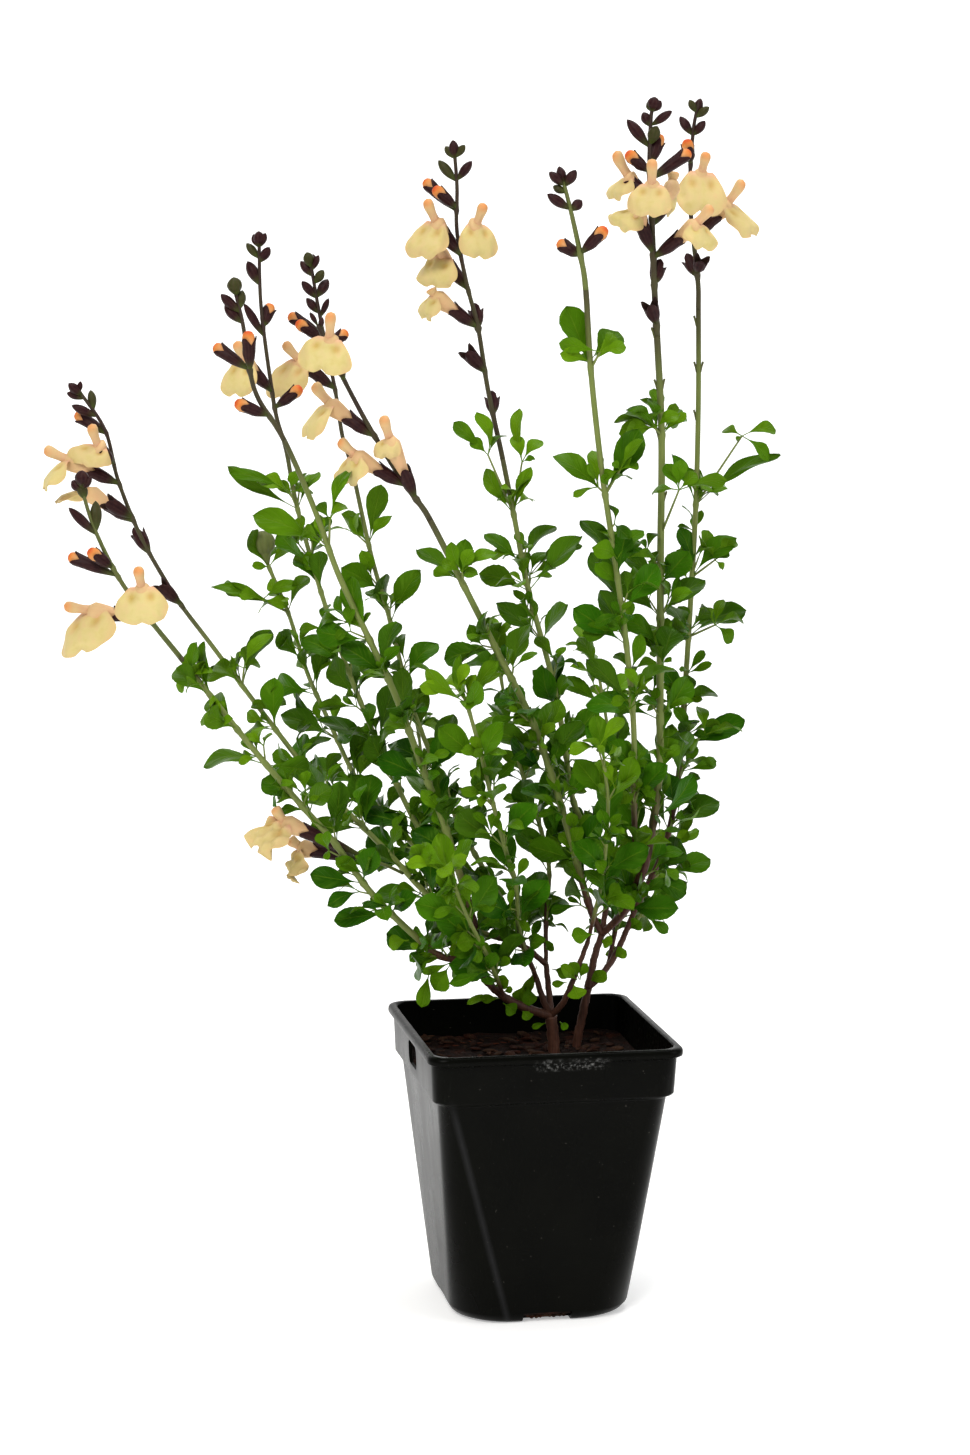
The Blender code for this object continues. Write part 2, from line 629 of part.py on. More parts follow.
def rule_leaves(grown, stems):
    """Opposite pairs up each stem where none was read off the view, each turned a quarter from the last."""
    for number, stem in enumerate(STEMS):
        if stem == "low_left":
            continue
        rng = np.random.default_rng((SEED, 2, number))
        route = ROUTES[stem]
        top = SPIKE_FROM.get(stem, route.long) - (0.045 if stem in SPIKE_FROM else 0.001)
        taken = [route.on_row(row) for name, row, *_ in PAIRS if name == stem]
        if stem in BARE_ABOVE:
            top = route.on_row(BARE_ABOVE[stem])
        place, quarter = COLLAR + 0.012, rng.integers(2)
        while place < top:
            near = min((abs(place - other) for other in taken), default=1.0)
            if near > 0.45 * NODE_APART:
                pair_of_leaves(stem, place, quarter, rng, grown, stems, top)
            place += NODE_APART * (0.85 + 0.3 * rng.random())
            quarter += 1
        if stem not in SPIKE_FROM:
            pair_of_leaves(stem, route.long - 0.002, quarter, rng, grown, stems, top)


LEAF_TURNS = (
    (0, 0), (0.35, 0), (-0.35, 0), (0, 0.25), (0, -0.25), (0.7, 0.1), (-0.7, 0.1), (1.1, 0), (-1.1, 0),
)
NODE_APART = 0.027
# Pixel row above which a stem has only the leaves that were read off the view
BARE_ABOVE = {"right_tall": 560, "right_back": 560, "bud_stem": 480, "left_tall": 600, "main": 640}


def pair_of_leaves(stem, place, quarter, rng, grown, stems, top):
    route = ROUTES[stem]
    heading = route.heading(place)
    young = place / top
    for half in (0, 1):
        draw = rng.random(8)
        long = 0.024 + 0.010 * math.sin(math.pi * min(1, 0.25 + 0.6 * young)) * (0.6 + 0.6 * draw[0])
        angle = math.pi * (half + quarter / 2) + 0.9 * (draw[1] - 0.5)
        lift = math.radians(38 + 22 * draw[2])
        tries = []
        for size in (1.0, 0.84, 0.68):
            for turn, raised in LEAF_TURNS:
                out = across(heading, angle + turn)
                along = unit(math.cos(lift + raised) * out + math.sin(lift + raised) * heading)
                tries.append(shaped_leaf(stem, place, along, long * size, draw))
        settle(tries, grown, stems)


def grow_leaves():
    grown, stems = [], stem_obstacles() + flower_obstacles(place_flowers())
    read_leaves(grown, stems)
    rule_leaves(grown, stems)
    return [leaf for leaf, tree in grown]


Flower = namedtuple("Flower", "name stem root calyx mouth up out wide hood lip")


def place_flowers():
    """Each flower's stalk, calyx end, mouth, the ways up and out, its lip's width, hood tip and lip end."""
    flowers, count = [], {}
    for stem, row, throat, hood, lip, wide, ahead, face in FLOWERS:
        count[stem] = count.get(stem, 0) + 1
        route = ROUTES[stem]
        root = route.at(route.on_row(row))
        depth = root @ INWARD - ahead / 1000
        mouth, high, low = spot(*throat, depth), spot(*hood, depth), spot(*lip, depth)
        up = unit(high - low)
        out = unit(mouth - root) - 1.4 * face * INWARD
        out = unit(out - (out @ up) * up)
        high = high + 0.35 * face * np.linalg.norm(high - mouth) * out
        low = low + 0.35 * face * np.linalg.norm(low - mouth) * out
        reach = mouth - root
        calyx = root + unit(reach) * min(CALYX_END, 0.72 * np.linalg.norm(reach))
        turned = math.sqrt(1 - (np.cross(out, up) @ INWARD) ** 2)
        spread = wide * PIXEL / max(0.75, turned)
        name = f"flower_{stem}_{count[stem]}"
        flowers.append(Flower(name, stem, root, calyx, mouth, up, out, spread, high, low))
    return flowers


PIXEL = VIEW_AWAY / VIEW_FOCAL  # metres a pixel, at the plant


def material(name, colour, rough, metallic=0.0):
    made = bpy.data.materials.new(name)
    made.use_nodes = True
    shader = made.node_tree.nodes["Principled BSDF"]
    shader.inputs["Base Color"].default_value = (*colour, 1)
    shader.inputs["Roughness"].default_value = rough
    shader.inputs["Metallic"].default_value = metallic
    made.diffuse_color = (*colour, 1)
    return made


def add_object(name, mesh, collection, finish=None):
    made = bpy.data.objects.new(name, mesh)
    collection.objects.link(made)
    if finish:
        mesh.materials.clear()
        mesh.materials.append(finish)
    return made


def mesh_of(name, points, faces):
    mesh = bpy.data.meshes.new(name)
    mesh.from_pydata([tuple(p) for p in points], [], faces)
    return mesh


def helper_collection(name):
    made = bpy.data.collections.new(name)
    bpy.context.scene.collection.children.link(made)
    made.hide_render = True
    return made


def bake(obj):
    """Turns an object's evaluated shape into its own mesh, with no modifiers left."""
    bpy.context.view_layer.update()
    graph = bpy.context.evaluated_depsgraph_get()
    mesh = bpy.data.meshes.new_from_object(obj.evaluated_get(graph))
    obj.modifiers.clear()
    obj.data = mesh


def fuse(body, pieces, solver="EXACT"):
    """Joins the pieces' collection to the body in one union and removes them."""
    if pieces.objects:
        union = body.modifiers.new("union", "BOOLEAN")
        union.operation = "UNION"
        union.operand_type = "COLLECTION"
        union.collection = pieces
        union.solver = solver
        bake(body)
    for piece in list(pieces.objects):
        bpy.data.objects.remove(piece)
    bpy.data.collections.remove(pieces)
    return body


def tube(name, points, radii, collection, finish=None):
    """A square tube along points, as a curve with a bevel, made a mesh with its caps welded."""
    curve = bpy.data.curves.new(name, "CURVE")
    curve.dimensions = "3D"
    curve.twist_mode = "MINIMUM"
    curve.bevel_depth = float(max(radii))
    curve.bevel_resolution = 0
    curve.use_fill_caps = True
    spline = curve.splines.new("POLY")
    spline.points.add(len(points) - 1)
    for point, place, radius in zip(spline.points, points, radii):
        point.co = (*place, 1)
        point.radius = radius / curve.bevel_depth
    guide = add_object(name + "_guide", curve, collection)
    bpy.context.view_layer.update()
    mesh = bpy.data.meshes.new_from_object(guide.evaluated_get(bpy.context.evaluated_depsgraph_get()))
    bpy.data.objects.remove(guide)
    shape = bmesh.new()
    shape.from_mesh(mesh)
    bmesh.ops.remove_doubles(shape, verts=shape.verts, dist=0.00001)
    bmesh.ops.recalc_face_normals(shape, faces=shape.faces)
    shape.to_mesh(mesh)
    shape.free()
    mesh.name = name
    return add_object(name, mesh, collection, finish)


def stretch_of(stem, start, end, apart=0.03, held=()):
    """Places and radii along part of a stem, with one at each place that holds a leaf or a flower."""
    corners = [start, end]
    for place in sorted(held):
        if min(abs(place - other) for other in corners) > 0.004:
            corners.append(place)
    places = []
    corners.sort()
    for low, high in zip(corners, corners[1:]):
        places += list(np.linspace(low, high, max(1, round((high - low) / apart)) + 1)[:-1])
    places = np.array([*places, end])
    return ROUTES[stem].at(places), thickness(stem, places)


def along_matrix(foot, heading, up=None):
    """A matrix that puts local Z on a heading and local X on the side that is up."""
    axis = unit(np.asarray(heading, float))
    up = np.array(INWARD if up is None else up, float)
    sideways = unit(up - (up @ axis) * axis)
    turned = Matrix((sideways, np.cross(axis, sideways), axis)).transposed().to_4x4()
    return Matrix.Translation(Vector(foot)) @ turned


def cone(name, foot, top, foot_radius, top_radius, sides, collection, up=None):
    foot, top = np.asarray(foot), np.asarray(top)
    shape = bmesh.new()
    tall = float(np.linalg.norm(top - foot))
    bmesh.ops.create_cone(
        shape, cap_ends=True, segments=sides, radius1=foot_radius, radius2=top_radius, depth=tall
    )
    bmesh.ops.transform(shape, matrix=along_matrix((foot + top) / 2, top - foot, up), verts=shape.verts)
    mesh = bpy.data.meshes.new(name)
    shape.to_mesh(mesh)
    shape.free()
    return add_object(name, mesh, collection)


def egg(name, foot, top, wide, sides, collection, rings=3):
    """A pointed bud: a ball of few faces stretched from foot to top."""
    foot, top = np.asarray(foot), np.asarray(top)
    shape = bmesh.new()
    bmesh.ops.create_uvsphere(shape, u_segments=sides, v_segments=rings, radius=0.5)
    size = Matrix.Diagonal((wide, wide, float(np.linalg.norm(top - foot)), 1))
    bmesh.ops.transform(shape, matrix=along_matrix((foot + top) / 2, top - foot) @ size, verts=shape.verts)
    mesh = bpy.data.meshes.new(name)
    shape.to_mesh(mesh)
    shape.free()
    return add_object(name, mesh, collection)


def rounded_square(half, corner, steps=3):
    """Points round a square with rounded corners, the same number whatever its radius."""
    corner = min(corner, half)
    turns = np.linspace(0, math.pi / 2, steps + 1)
    ring = []
    for quarter in range(4):
        angle = quarter * math.pi / 2
        middle = (half - corner) * math.sqrt(2)
        centre = np.array([math.cos(angle + math.pi / 4), math.sin(angle + math.pi / 4)]) * middle
        ring += [centre + corner * np.array([math.cos(angle + a), math.sin(angle + a)]) for a in turns]
    return np.array(ring)


def loft(name, sections, collection, finish=None):
    """A closed solid through rings of points that all have the same number of points."""
    count = len(sections[0])
    shape = bmesh.new()
    rings = [[shape.verts.new(p) for p in section] for section in sections]
    for lower, upper in zip(rings, rings[1:]):
        for k in range(count):
            j = (k + 1) % count
            shape.faces.new((lower[k], lower[j], upper[j], upper[k]))
    shape.faces.new(rings[0][::-1])
    shape.faces.new(rings[-1])
    bmesh.ops.recalc_face_normals(shape, faces=shape.faces)
    mesh = bpy.data.meshes.new(name)
    shape.to_mesh(mesh)
    shape.free()
    return add_object(name, mesh, collection, finish)


def ring_at(height, half, corner):
    flat = rounded_square(half, corner)
    return np.column_stack([flat, np.full(len(flat), height)])


def body_half(height):
    """Half width of the pot's tapering body at a height, outside."""
    step_height = POT_HIGH - RIM_TALL - COLLAR_TALL
    top_half = POT_WIDE / 2 - RIM_LIP - COLLAR_STEP - 0.001
    return FOOT_WIDE / 2 + (top_half - FOOT_WIDE / 2) * height / step_height


def body_corner(height):
    """Radius of the pot's corners at a height: round at the foot and small at the rim."""
    share = min(height / (POT_HIGH - RIM_TALL - COLLAR_TALL), 1)
    return FOOT_CORNER + (RIM_CORNER - FOOT_CORNER) * share**0.8


def pot_profile():
    """Rings of the pot from its underside up the outside, over the rim and down the inside to its floor."""
    step_height = POT_HIGH - RIM_TALL - COLLAR_TALL
    rim_under = POT_HIGH - RIM_TALL
    rim_half = POT_WIDE / 2
    collar_half = rim_half - RIM_LIP
    rings = [(0.0, body_half(0) - EDGE_ROUND * 0.8), (EDGE_ROUND * 0.3, body_half(0) - EDGE_ROUND * 0.3)]
    rings.append((EDGE_ROUND, body_half(EDGE_ROUND)))
    rings += [(h, body_half(h)) for h in (0.035, 0.075, step_height - 0.002)]
    rings += [(step_height, collar_half - 0.001), (rim_under, collar_half)]
    rings += [(rim_under + 0.0002, rim_half - 0.0004), (rim_under + 0.0016, rim_half)]
    rings += [(POT_HIGH - 0.001, rim_half - 0.0002), (POT_HIGH, rim_half - 0.0012)]
    rings.append((POT_HIGH, rim_half - RIM_LIP - POT_WALL))
    return rings + inner_profile()


def inner_profile():
    """Rings of the pot's inside from its step down to its floor."""
    step_height = POT_HIGH - RIM_TALL - COLLAR_TALL
    rings = [(step_height + 0.0005, POT_WIDE / 2 - RIM_LIP - 0.001)]
    rings.append((step_height - 0.003, body_half(step_height)))
    rings += [(h, body_half(h)) for h in (0.075, 0.035, POT_FLOOR + 0.002)]
    rings.append((POT_FLOOR, body_half(POT_FLOOR) - 0.002))
    return [(height, half - POT_WALL) for height, half in rings]


def cutter_box(name, middle, size, cutters, corner=0.0):
    shape = bmesh.new()
    bmesh.ops.create_cube(shape, size=1)
    bmesh.ops.transform(shape, matrix=Matrix.Diagonal((*size, 1)), verts=shape.verts)
    if corner:
        thin = min(range(3), key=lambda axis: size[axis])
        edges = []
        for edge in shape.edges:
            if abs(edge.verts[0].co[thin] - edge.verts[1].co[thin]) > size[thin] / 2:
                edges.append(edge)
        bmesh.ops.bevel(shape, geom=edges, offset=corner, segments=2, profile=0.5, affect="EDGES")
    bmesh.ops.translate(shape, vec=middle, verts=shape.verts)
    mesh = bpy.data.meshes.new(name)
    shape.to_mesh(mesh)
    shape.free()
    made = add_object(name, mesh, cutters)
    made.hide_render = True
    made.display_type = "WIRE"
    return made


def cut(body, cutters):
    """Cuts every object of a collection from a body and bakes the result."""
    taken = body.modifiers.new("cut", "BOOLEAN")
    taken.operation = "DIFFERENCE"
    taken.operand_type = "COLLECTION"
    taken.collection = cutters
    taken.solver = "EXACT"
    bake(body)


def make_pot(parts, cutters):
    finish = material("black_plastic", (0.012, 0.012, 0.013), 0.32)
    rings = [ring_at(h, half, min(body_corner(h), half)) for h, half in pot_profile()]
    pot = loft("pot", rings, parts, finish)
    collar_half = POT_WIDE / 2 - RIM_LIP
    collar_mid = POT_HIGH - RIM_TALL - COLLAR_TALL * 0.45
    cutter_box("slot", (-collar_half, 0, collar_mid), (0.012, *SLOT_SIZE), cutters, corner=0.0035)
    recess_wide, recess_tall = RECESS_SIZE
    middle = (0.004, -collar_half - 0.004 + RECESS_DEEP, collar_mid)
    cutter_box("recess", middle, (recess_wide, 0.008, recess_tall), cutters, corner=0.004)
    wide, deep, tall = DRAIN_SIZE
    for k in range(4):
        turn = k * math.pi / 2
        out = FOOT_WIDE / 2 - deep / 2 + 0.003
        size = (deep, wide, 2 * tall) if k % 2 == 0 else (wide, deep, 2 * tall)
        cutter_box(f"drain_{k}", (out * math.cos(turn), out * math.sin(turn), 0), size, cutters)
        corner = 1.25 * FOOT_WIDE / 2 - 0.9 * FOOT_CORNER
        turn += math.pi / 4
        diagonal = (corner * math.cos(turn), corner * math.sin(turn), 0)
        cutter_box(f"corner_drain_{k}", diagonal, (0.010, 0.010, 2 * tall), cutters)
    cut(pot, cutters)
    return pot


def soil_relief(x, y):
    """Unevenness of the soil's top, in metres: three crossed waves."""
    waves = np.sin(x * 190 + 1) * np.cos(y * 160)
    waves = waves + 0.7 * np.sin(x * 90 + y * 240) + 0.5 * np.cos(x * 330 - y * 120)
    return SOIL_ROUGH * waves / 2.2


def make_soil(parts):
    finish = material("bark_soil", (0.035, 0.016, 0.010), 0.95)
    edge = POT_WIDE / 2 - RIM_LIP - 0.001 - POT_WALL
    profile = [(POT_FLOOR + GAP, inner_profile()[-1][1]), *inner_profile()[-2::-1], (SOIL_TOP - 0.0012, edge)]
    rings = [ring_at(height, half - GAP, body_corner(height)) for height, half in profile]
    for share in (0.86, 0.62, 0.38, 0.14):
        ring = ring_at(SOIL_TOP, edge * share, RIM_CORNER * share)
        ring[:, 2] += soil_relief(ring[:, 0], ring[:, 1])
        rings.append(ring)
    soil = loft("soil", rings, parts, finish)
    holes = helper_collection("soil_holes")
    for name in ("trunk_left", "trunk_right"):
        route, radius = ROUTES[name], BRANCHES[name].thick / 1000 + 2 * GAP
        foot, top = route.at(0), route.at(route.on_row(BRANCHES[name].places[1][1]))
        ahead = unit(top - foot)
        cone(name + "_hole", foot - ahead * GAP, top + ahead * 0.012, radius, radius, 8, holes)
    cut(soil, holes)
    for hole in list(holes.objects):
        bpy.data.objects.remove(hole)
    bpy.data.collections.remove(holes)
    return soil


def children_of(name):
    return [stem for stem, plan in STEMS.items() if plan.joins == name]


def add_collar(stem, pieces):
    """The foot of a stem, fused to what it grows from."""
    points, radii = stretch_of(stem, 0, COLLAR, COLLAR)
    tube(stem + "_collar", points, radii * 1.04, pieces)


def make_crowns(parts):
    bark = material("purple_brown_bark", (0.085, 0.040, 0.028), 0.75)
    for crown in ("crown_left", "crown_right"):
        names = [name for name, plan in BRANCHES.items() if plan.crown == crown]
        body = tube(crown, *stretch_of(names[0], 0, ROUTES[names[0]].long, 0.016), parts, bark)
        pieces = helper_collection(crown + "_pieces")
        for name in names[1:]:
            tube(name, *stretch_of(name, 0, ROUTES[name].long, 0.016), pieces)
        for name in names:
            for stem in children_of(name):
                add_collar(stem, pieces)
        fuse(body, pieces)


def make_stems(parts, leaves):
    green = material("leaf_green", (0.045, 0.155, 0.012), 0.55)
    for stem, plan in STEMS.items():
        if not plan.leafy or stem == "low_left":
            continue
        end = SPIKE_FROM.get(stem, ROUTES[stem].long)
        held = [leaf.place for leaf in leaves if leaf.stem == stem]
        points, radii = stretch_of(stem, COLLAR + GAP, end, held=held)
        body = tube("stem_" + stem, points, radii, parts, green)
        pieces = helper_collection(stem + "_pieces")
        for k, leaf in enumerate(leaves):
            if leaf.stem == stem:
                add_object(f"leaf_{k}", mesh_of("leaf", leaf_solid(leaf), LEAF_FACES), pieces)
        for child in children_of(stem):
            add_collar(child, pieces)
        if stem == "seed_head":
            top, middle = ROUTES[stem].at(end), spot(*SEED_HEAD[:2], SEED_HEAD[2] / 1000)
            ahead = unit(middle - top)
            reach = ahead * SEED_HEAD_WIDE * 0.55
            cone("seed_neck", top - ahead * 0.001, middle, 0.0012, 0.0042, 6, pieces)
            egg("seed_ball", middle - reach, middle + reach, SEED_HEAD_WIDE, 8, pieces, 6)
        fuse(body, pieces)


def stalk_to(stem, row, tip):
    """Foot on a spike's stalk and the tip of what it carries, both as places in space."""
    route = ROUTES[stem]
    root = route.at(route.on_row(row))
    return root, spot(*tip, root @ INWARD)


def add_opening_bud(stem, row, tip, lean, pieces):
    """A calyx with the tip of an unopened corolla standing out of it."""
    root, flat = stalk_to(stem, row, tip)
    end = flat - lean * 0.006 * INWARD
    ahead = unit(end - root)
    mouth = end - ahead * 0.0045
    cone("bud_calyx", root, mouth, CALYX_ROOT, 0.0031, 4, pieces)
    egg("bud_tip", mouth - ahead * 0.004, end, 0.0050, 4, pieces, 2)


def add_spent_calyx(stem, row, tip, lean, pieces):
    """An open calyx with three points, empty."""
    root, flat = stalk_to(stem, row, tip)
    end = flat - lean * 0.007 * INWARD
    ahead = unit(end - root)
    long = np.linalg.norm(end - root) - 0.003
    cup = cone("spent_calyx", root, root + ahead * long, CALYX_ROOT, 0.0026, 6, pieces)
    for k, vertex in enumerate(cup.data.vertices):
        place = np.array(vertex.co)
        if (place - root) @ ahead > long / 2 and k % 4 < 2:
            vertex.co = Vector(place + ahead * 0.003 + 0.35 * (place - root - ahead * long))


def closed_buds(stem):
    """Foot, tip and width of each closed bud, every other one leaning nearer."""
    buds = []
    for k, (row, across_, down, wide) in enumerate(CLOSED.get(stem, ())):
        root, tip = stalk_to(stem, row, (across_, down))
        lean = 0.0025 if k % 2 else -0.0025
        buds.append((root, tip + lean * INWARD, wide * PIXEL))
    return buds


def make_spikes(parts, flowers):
    maroon = material("dark_calyx", (0.030, 0.008, 0.012), 0.6)
    for number, stem in enumerate(name for name in STEMS if STEMS[name].spike):
        route = ROUTES[stem]
        start = COLLAR + GAP if stem == "low_left" else SPIKE_FROM[stem] + GAP
        held = [route.on_row(row) for name, row, *_ in [*FLOWERS, *OPENING, *SPENT] if name == stem]
        held += [route.on_row(row) for row, *_ in CLOSED.get(stem, ())]
        points, radii = stretch_of(stem, start, route.long, held=[place for place in held if place > start])
        body = tube("spike_" + stem, points, radii, parts, maroon)
        pieces = helper_collection(stem + "_pieces")
        for flower in flowers:
            if flower.stem == stem:
                cone("calyx", flower.root, flower.calyx, CALYX_ROOT, CALYX_MOUTH, 5, pieces, flower.up)
        for k, (name, row, tip) in enumerate(OPENING):
            if name == stem:
                add_opening_bud(stem, row, tip, 1 if k % 2 else -1, pieces)
        for k, (name, row, tip) in enumerate(SPENT):
            if name == stem:
                add_spent_calyx(stem, row, tip, 1 if k % 2 else -1, pieces)
        for foot, tip, wide in closed_buds(stem):
            egg("bud", foot, tip, wide, 4, pieces, 2)
        fuse(body, pieces)


HOOD_WIDE = 0.0056
LIP_ANGLES = (-80, -48, -17, 17, 48, 80)  # degrees from straight down
LIP_REACH = (0.84, 1.1, 0.92, 0.92, 1.1, 0.84)  # share of the lip's half width


def lip_points(flower):
    """Middle surface of the lower lip: root, middle of its throat, and six points round its edge."""
    side, half = np.cross(flower.out, flower.up), flower.wide / 2
    root = flower.mouth - flower.out * 0.001
    hang, long = unit(flower.lip - root), np.linalg.norm(flower.lip - root)
    lift = unit(flower.out - (flower.out @ hang) * hang)
    throat = root + hang * 0.005 + lift * 0.001
    edge = []
    for degrees, reach in zip(LIP_ANGLES, LIP_REACH):
        angle = math.radians(degrees)
        x, y = half * reach * math.sin(angle), long * (0.15 + 0.88 * reach * math.cos(angle))
        edge.append(root + side * x + hang * y - lift * 9.0 * x * x)
    return [root, throat, *edge]


LIP_TRIANGLES = [(1, k, k + 1) for k in range(2, 7)] + [(1, 0, 2), (1, 7, 0)]


def make_flowers(parts, flowers):
    cream = material("cream_petal", (0.86, 0.66, 0.32), 0.6)
    for flower in flowers:
        ahead = unit(flower.mouth - flower.root)
        tube_foot = flower.calyx + ahead * GAP
        body = cone(flower.name, tube_foot, flower.mouth + ahead * 0.001, 0.0025, 0.0036, 5, parts, flower.up)
        body.data.materials.append(cream)
        pieces = helper_collection(flower.name + "_pieces")
        rise = unit(flower.hood - flower.mouth)
        egg("hood", flower.mouth - rise * 0.002, flower.hood, HOOD_WIDE, 5, pieces)
        lip = add_object("lip", mesh_of("lip", lip_points(flower), LIP_TRIANGLES), pieces)
        wall = lip.modifiers.new("thickness", "SOLIDIFY")
        wall.thickness = LEAF_THICK
        wall.offset = 0
        fuse(body, pieces)


def main():
    for obj in list(bpy.data.objects):
        bpy.data.objects.remove(obj)
    parts = bpy.data.collections.new("perennial_salvia")
    bpy.context.scene.collection.children.link(parts)
    cutters = helper_collection("cutters")
    leaves, flowers = grow_leaves(), place_flowers()
    make_pot(parts, cutters)
    make_soil(parts)
    make_crowns(parts)
    make_stems(parts, leaves)
    make_spikes(parts, flowers)
    make_flowers(parts, flowers)


if __name__ == "__main__":
    main()
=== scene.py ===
"""Looks of a flowering perennial salvia in its square nursery pot.

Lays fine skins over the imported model: for each leafy stem, flower spike, flower and woody crown, the soil and
the pot. Metres, +Z up, with the origin in the middle of the pot's underside. The plant is laid out from its
front view: a place on it is written as a pixel of a picture 970 wide and 1455 high and a depth in millimetres
behind the pot's middle, and spot() turns that into a place in space.
"""

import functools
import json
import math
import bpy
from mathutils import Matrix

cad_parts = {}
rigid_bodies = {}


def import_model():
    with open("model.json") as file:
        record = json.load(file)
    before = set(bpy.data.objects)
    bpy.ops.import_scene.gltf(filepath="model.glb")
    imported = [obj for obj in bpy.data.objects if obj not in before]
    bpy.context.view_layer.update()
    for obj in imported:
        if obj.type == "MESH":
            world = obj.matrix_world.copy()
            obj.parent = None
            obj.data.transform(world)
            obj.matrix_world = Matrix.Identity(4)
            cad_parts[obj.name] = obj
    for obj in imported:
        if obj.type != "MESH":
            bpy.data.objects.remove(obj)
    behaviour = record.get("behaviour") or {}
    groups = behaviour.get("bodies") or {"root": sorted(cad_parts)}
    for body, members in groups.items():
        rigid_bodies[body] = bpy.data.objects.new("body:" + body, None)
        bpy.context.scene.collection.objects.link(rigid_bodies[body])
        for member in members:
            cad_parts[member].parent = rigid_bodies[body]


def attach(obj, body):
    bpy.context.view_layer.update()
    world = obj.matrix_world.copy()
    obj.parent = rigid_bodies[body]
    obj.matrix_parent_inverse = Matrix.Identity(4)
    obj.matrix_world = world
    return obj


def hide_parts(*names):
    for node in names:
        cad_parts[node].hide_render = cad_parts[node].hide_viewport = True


bl_info = {
    "name": "Potted salvia",
    "version": (1, 0, 0),
    "blender": (4, 5, 0),
    "location": "3D View > Sidebar > Salvia",
    "description": "Builds the leaves, flowers, stems, soil, pot and studio of a potted salvia",
    "category": "Object",
}

from collections import namedtuple

import bmesh
import bpy
import numpy as np
from mathutils import Matrix, Vector
from mathutils.bvhtree import BVHTree
from numpy.linalg import norm

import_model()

# Pot, in metres
POT_WIDE = 0.135  # across the rim
POT_HIGH = 0.1486
POT_WALL = 0.0016
POT_FLOOR = 0.003
FOOT_WIDE = 0.0954  # across the foot, to the corners that its sides would meet in
FOOT_CORNER = 0.027  # radius of a corner at the foot
RIM_CORNER = 0.010  # radius of a corner at the rim
RIM_TALL = 0.0048
RIM_LIP = 0.0026  # how far the rolled rim stands out
COLLAR_TALL = 0.0205  # from the rim's underside to the step
COLLAR_STEP = 0.003
COLLAR_HALF = POT_WIDE / 2 - RIM_LIP
STEP_HIGH = POT_HIGH - RIM_TALL - COLLAR_TALL
BODY_RINGS = 0.035, 0.075  # heights of the rings between the foot and the step
EDGE_ROUND = 0.005  # rounding of the pot's bottom edge
SLOT_SIZE = (0.022, 0.0125)  # slot through the collar, wide and tall
RECESS_SIZE = (0.041, 0.0165)  # bare recess on the front of the collar
RECESS_DEEP = 0.0005
DRAIN_SIZE = (0.026, 0.012, 0.0055)  # opening in the bottom edge: wide, deep, tall

# Soil, in metres
GAP = 0.0003  # clear space between pieces that touch
SOIL_TOP = 0.129
SOIL_ROUGH = 0.0012
TRUNK_SUNK = 0.034  # how far a trunk goes down into the soil

# Front view that the plant is laid out from
VIEW_MIDDLE = (485.0, 727.5)  # pixels
VIEW_FOCAL = 3168.0  # pixels
VIEW_TURN = math.radians(-11.66)
VIEW_TILT = math.radians(8.19)
VIEW_ROLL = math.radians(0.64)
VIEW_AWAY = 1.663  # metres
VIEW_AIM = (-0.0267, 0.3079)  # metres to the right of the origin and above it

# Growth
SEED = 3716
COLLAR = 0.010  # length at the foot of each stem that belongs to what it grows from
LEAF_THICK = 0.0007
LEAF_CLEAR = 0.0008  # room kept round a leaf
LEAF_WIDEST = 0.0155
CALYX_END = 0.0150  # from a flower's stalk end to the mouth of its calyx
RACHIS_SLIM = 0.00085

# Woody branches: crown, what each grows from (none for a trunk), foot and end radius in mm, and its places
# from foot to end. A place is (pixel across, pixel down, millimetres behind the middle of the pot).
Branch = namedtuple("Branch", "crown joins thick slim places")
BRANCHES = {
    "trunk_left": Branch("crown_left", None, 3.6, 3.1,
        [(555.5, 1062, 17), (554, 1052, 18.7), (551, 1016, 18)]),
    "fork_left": Branch("crown_left", "trunk_left", 2.6, 1.9,
        [(551, 1016, 18), (525.5, 1008, 14), (503.8, 996.5, 10), (484, 978, 5), (476, 960, 1)]),
    "fork_up": Branch("crown_left", "trunk_left", 1.9, 1.5,
        [(551, 1016, 18), (543, 999, 18), (536, 977, 20)]),
    "fork_back": Branch("crown_left", "trunk_left", 1.9, 1.5,
        [(551, 1016, 18), (549.5, 998, 22), (546, 964, 26)]),
    "fork_front": Branch("crown_left", "trunk_left", 1.8, 1.3,
        [(551, 1016, 18), (564, 1001, 13), (577, 970, 10), (588, 941, 8)]),
    "trunk_right": Branch("crown_right", None, 2.7, 2.2,
        [(575.5, 1060, 28), (576.5, 1047.5, 29.2), (582, 1017, 29), (588, 988, 30)]),
    "fork_middle": Branch("crown_right", "trunk_right", 2.2, 1.8,
        [(588, 988, 30), (595, 955, 31), (602, 934, 31)]),
    "fork_right": Branch("crown_right", "trunk_right", 1.9, 1.5,
        [(588, 988, 30), (602, 974, 32), (615, 955.7, 35), (626, 931.4, 38), (634, 912, 41)]),
}

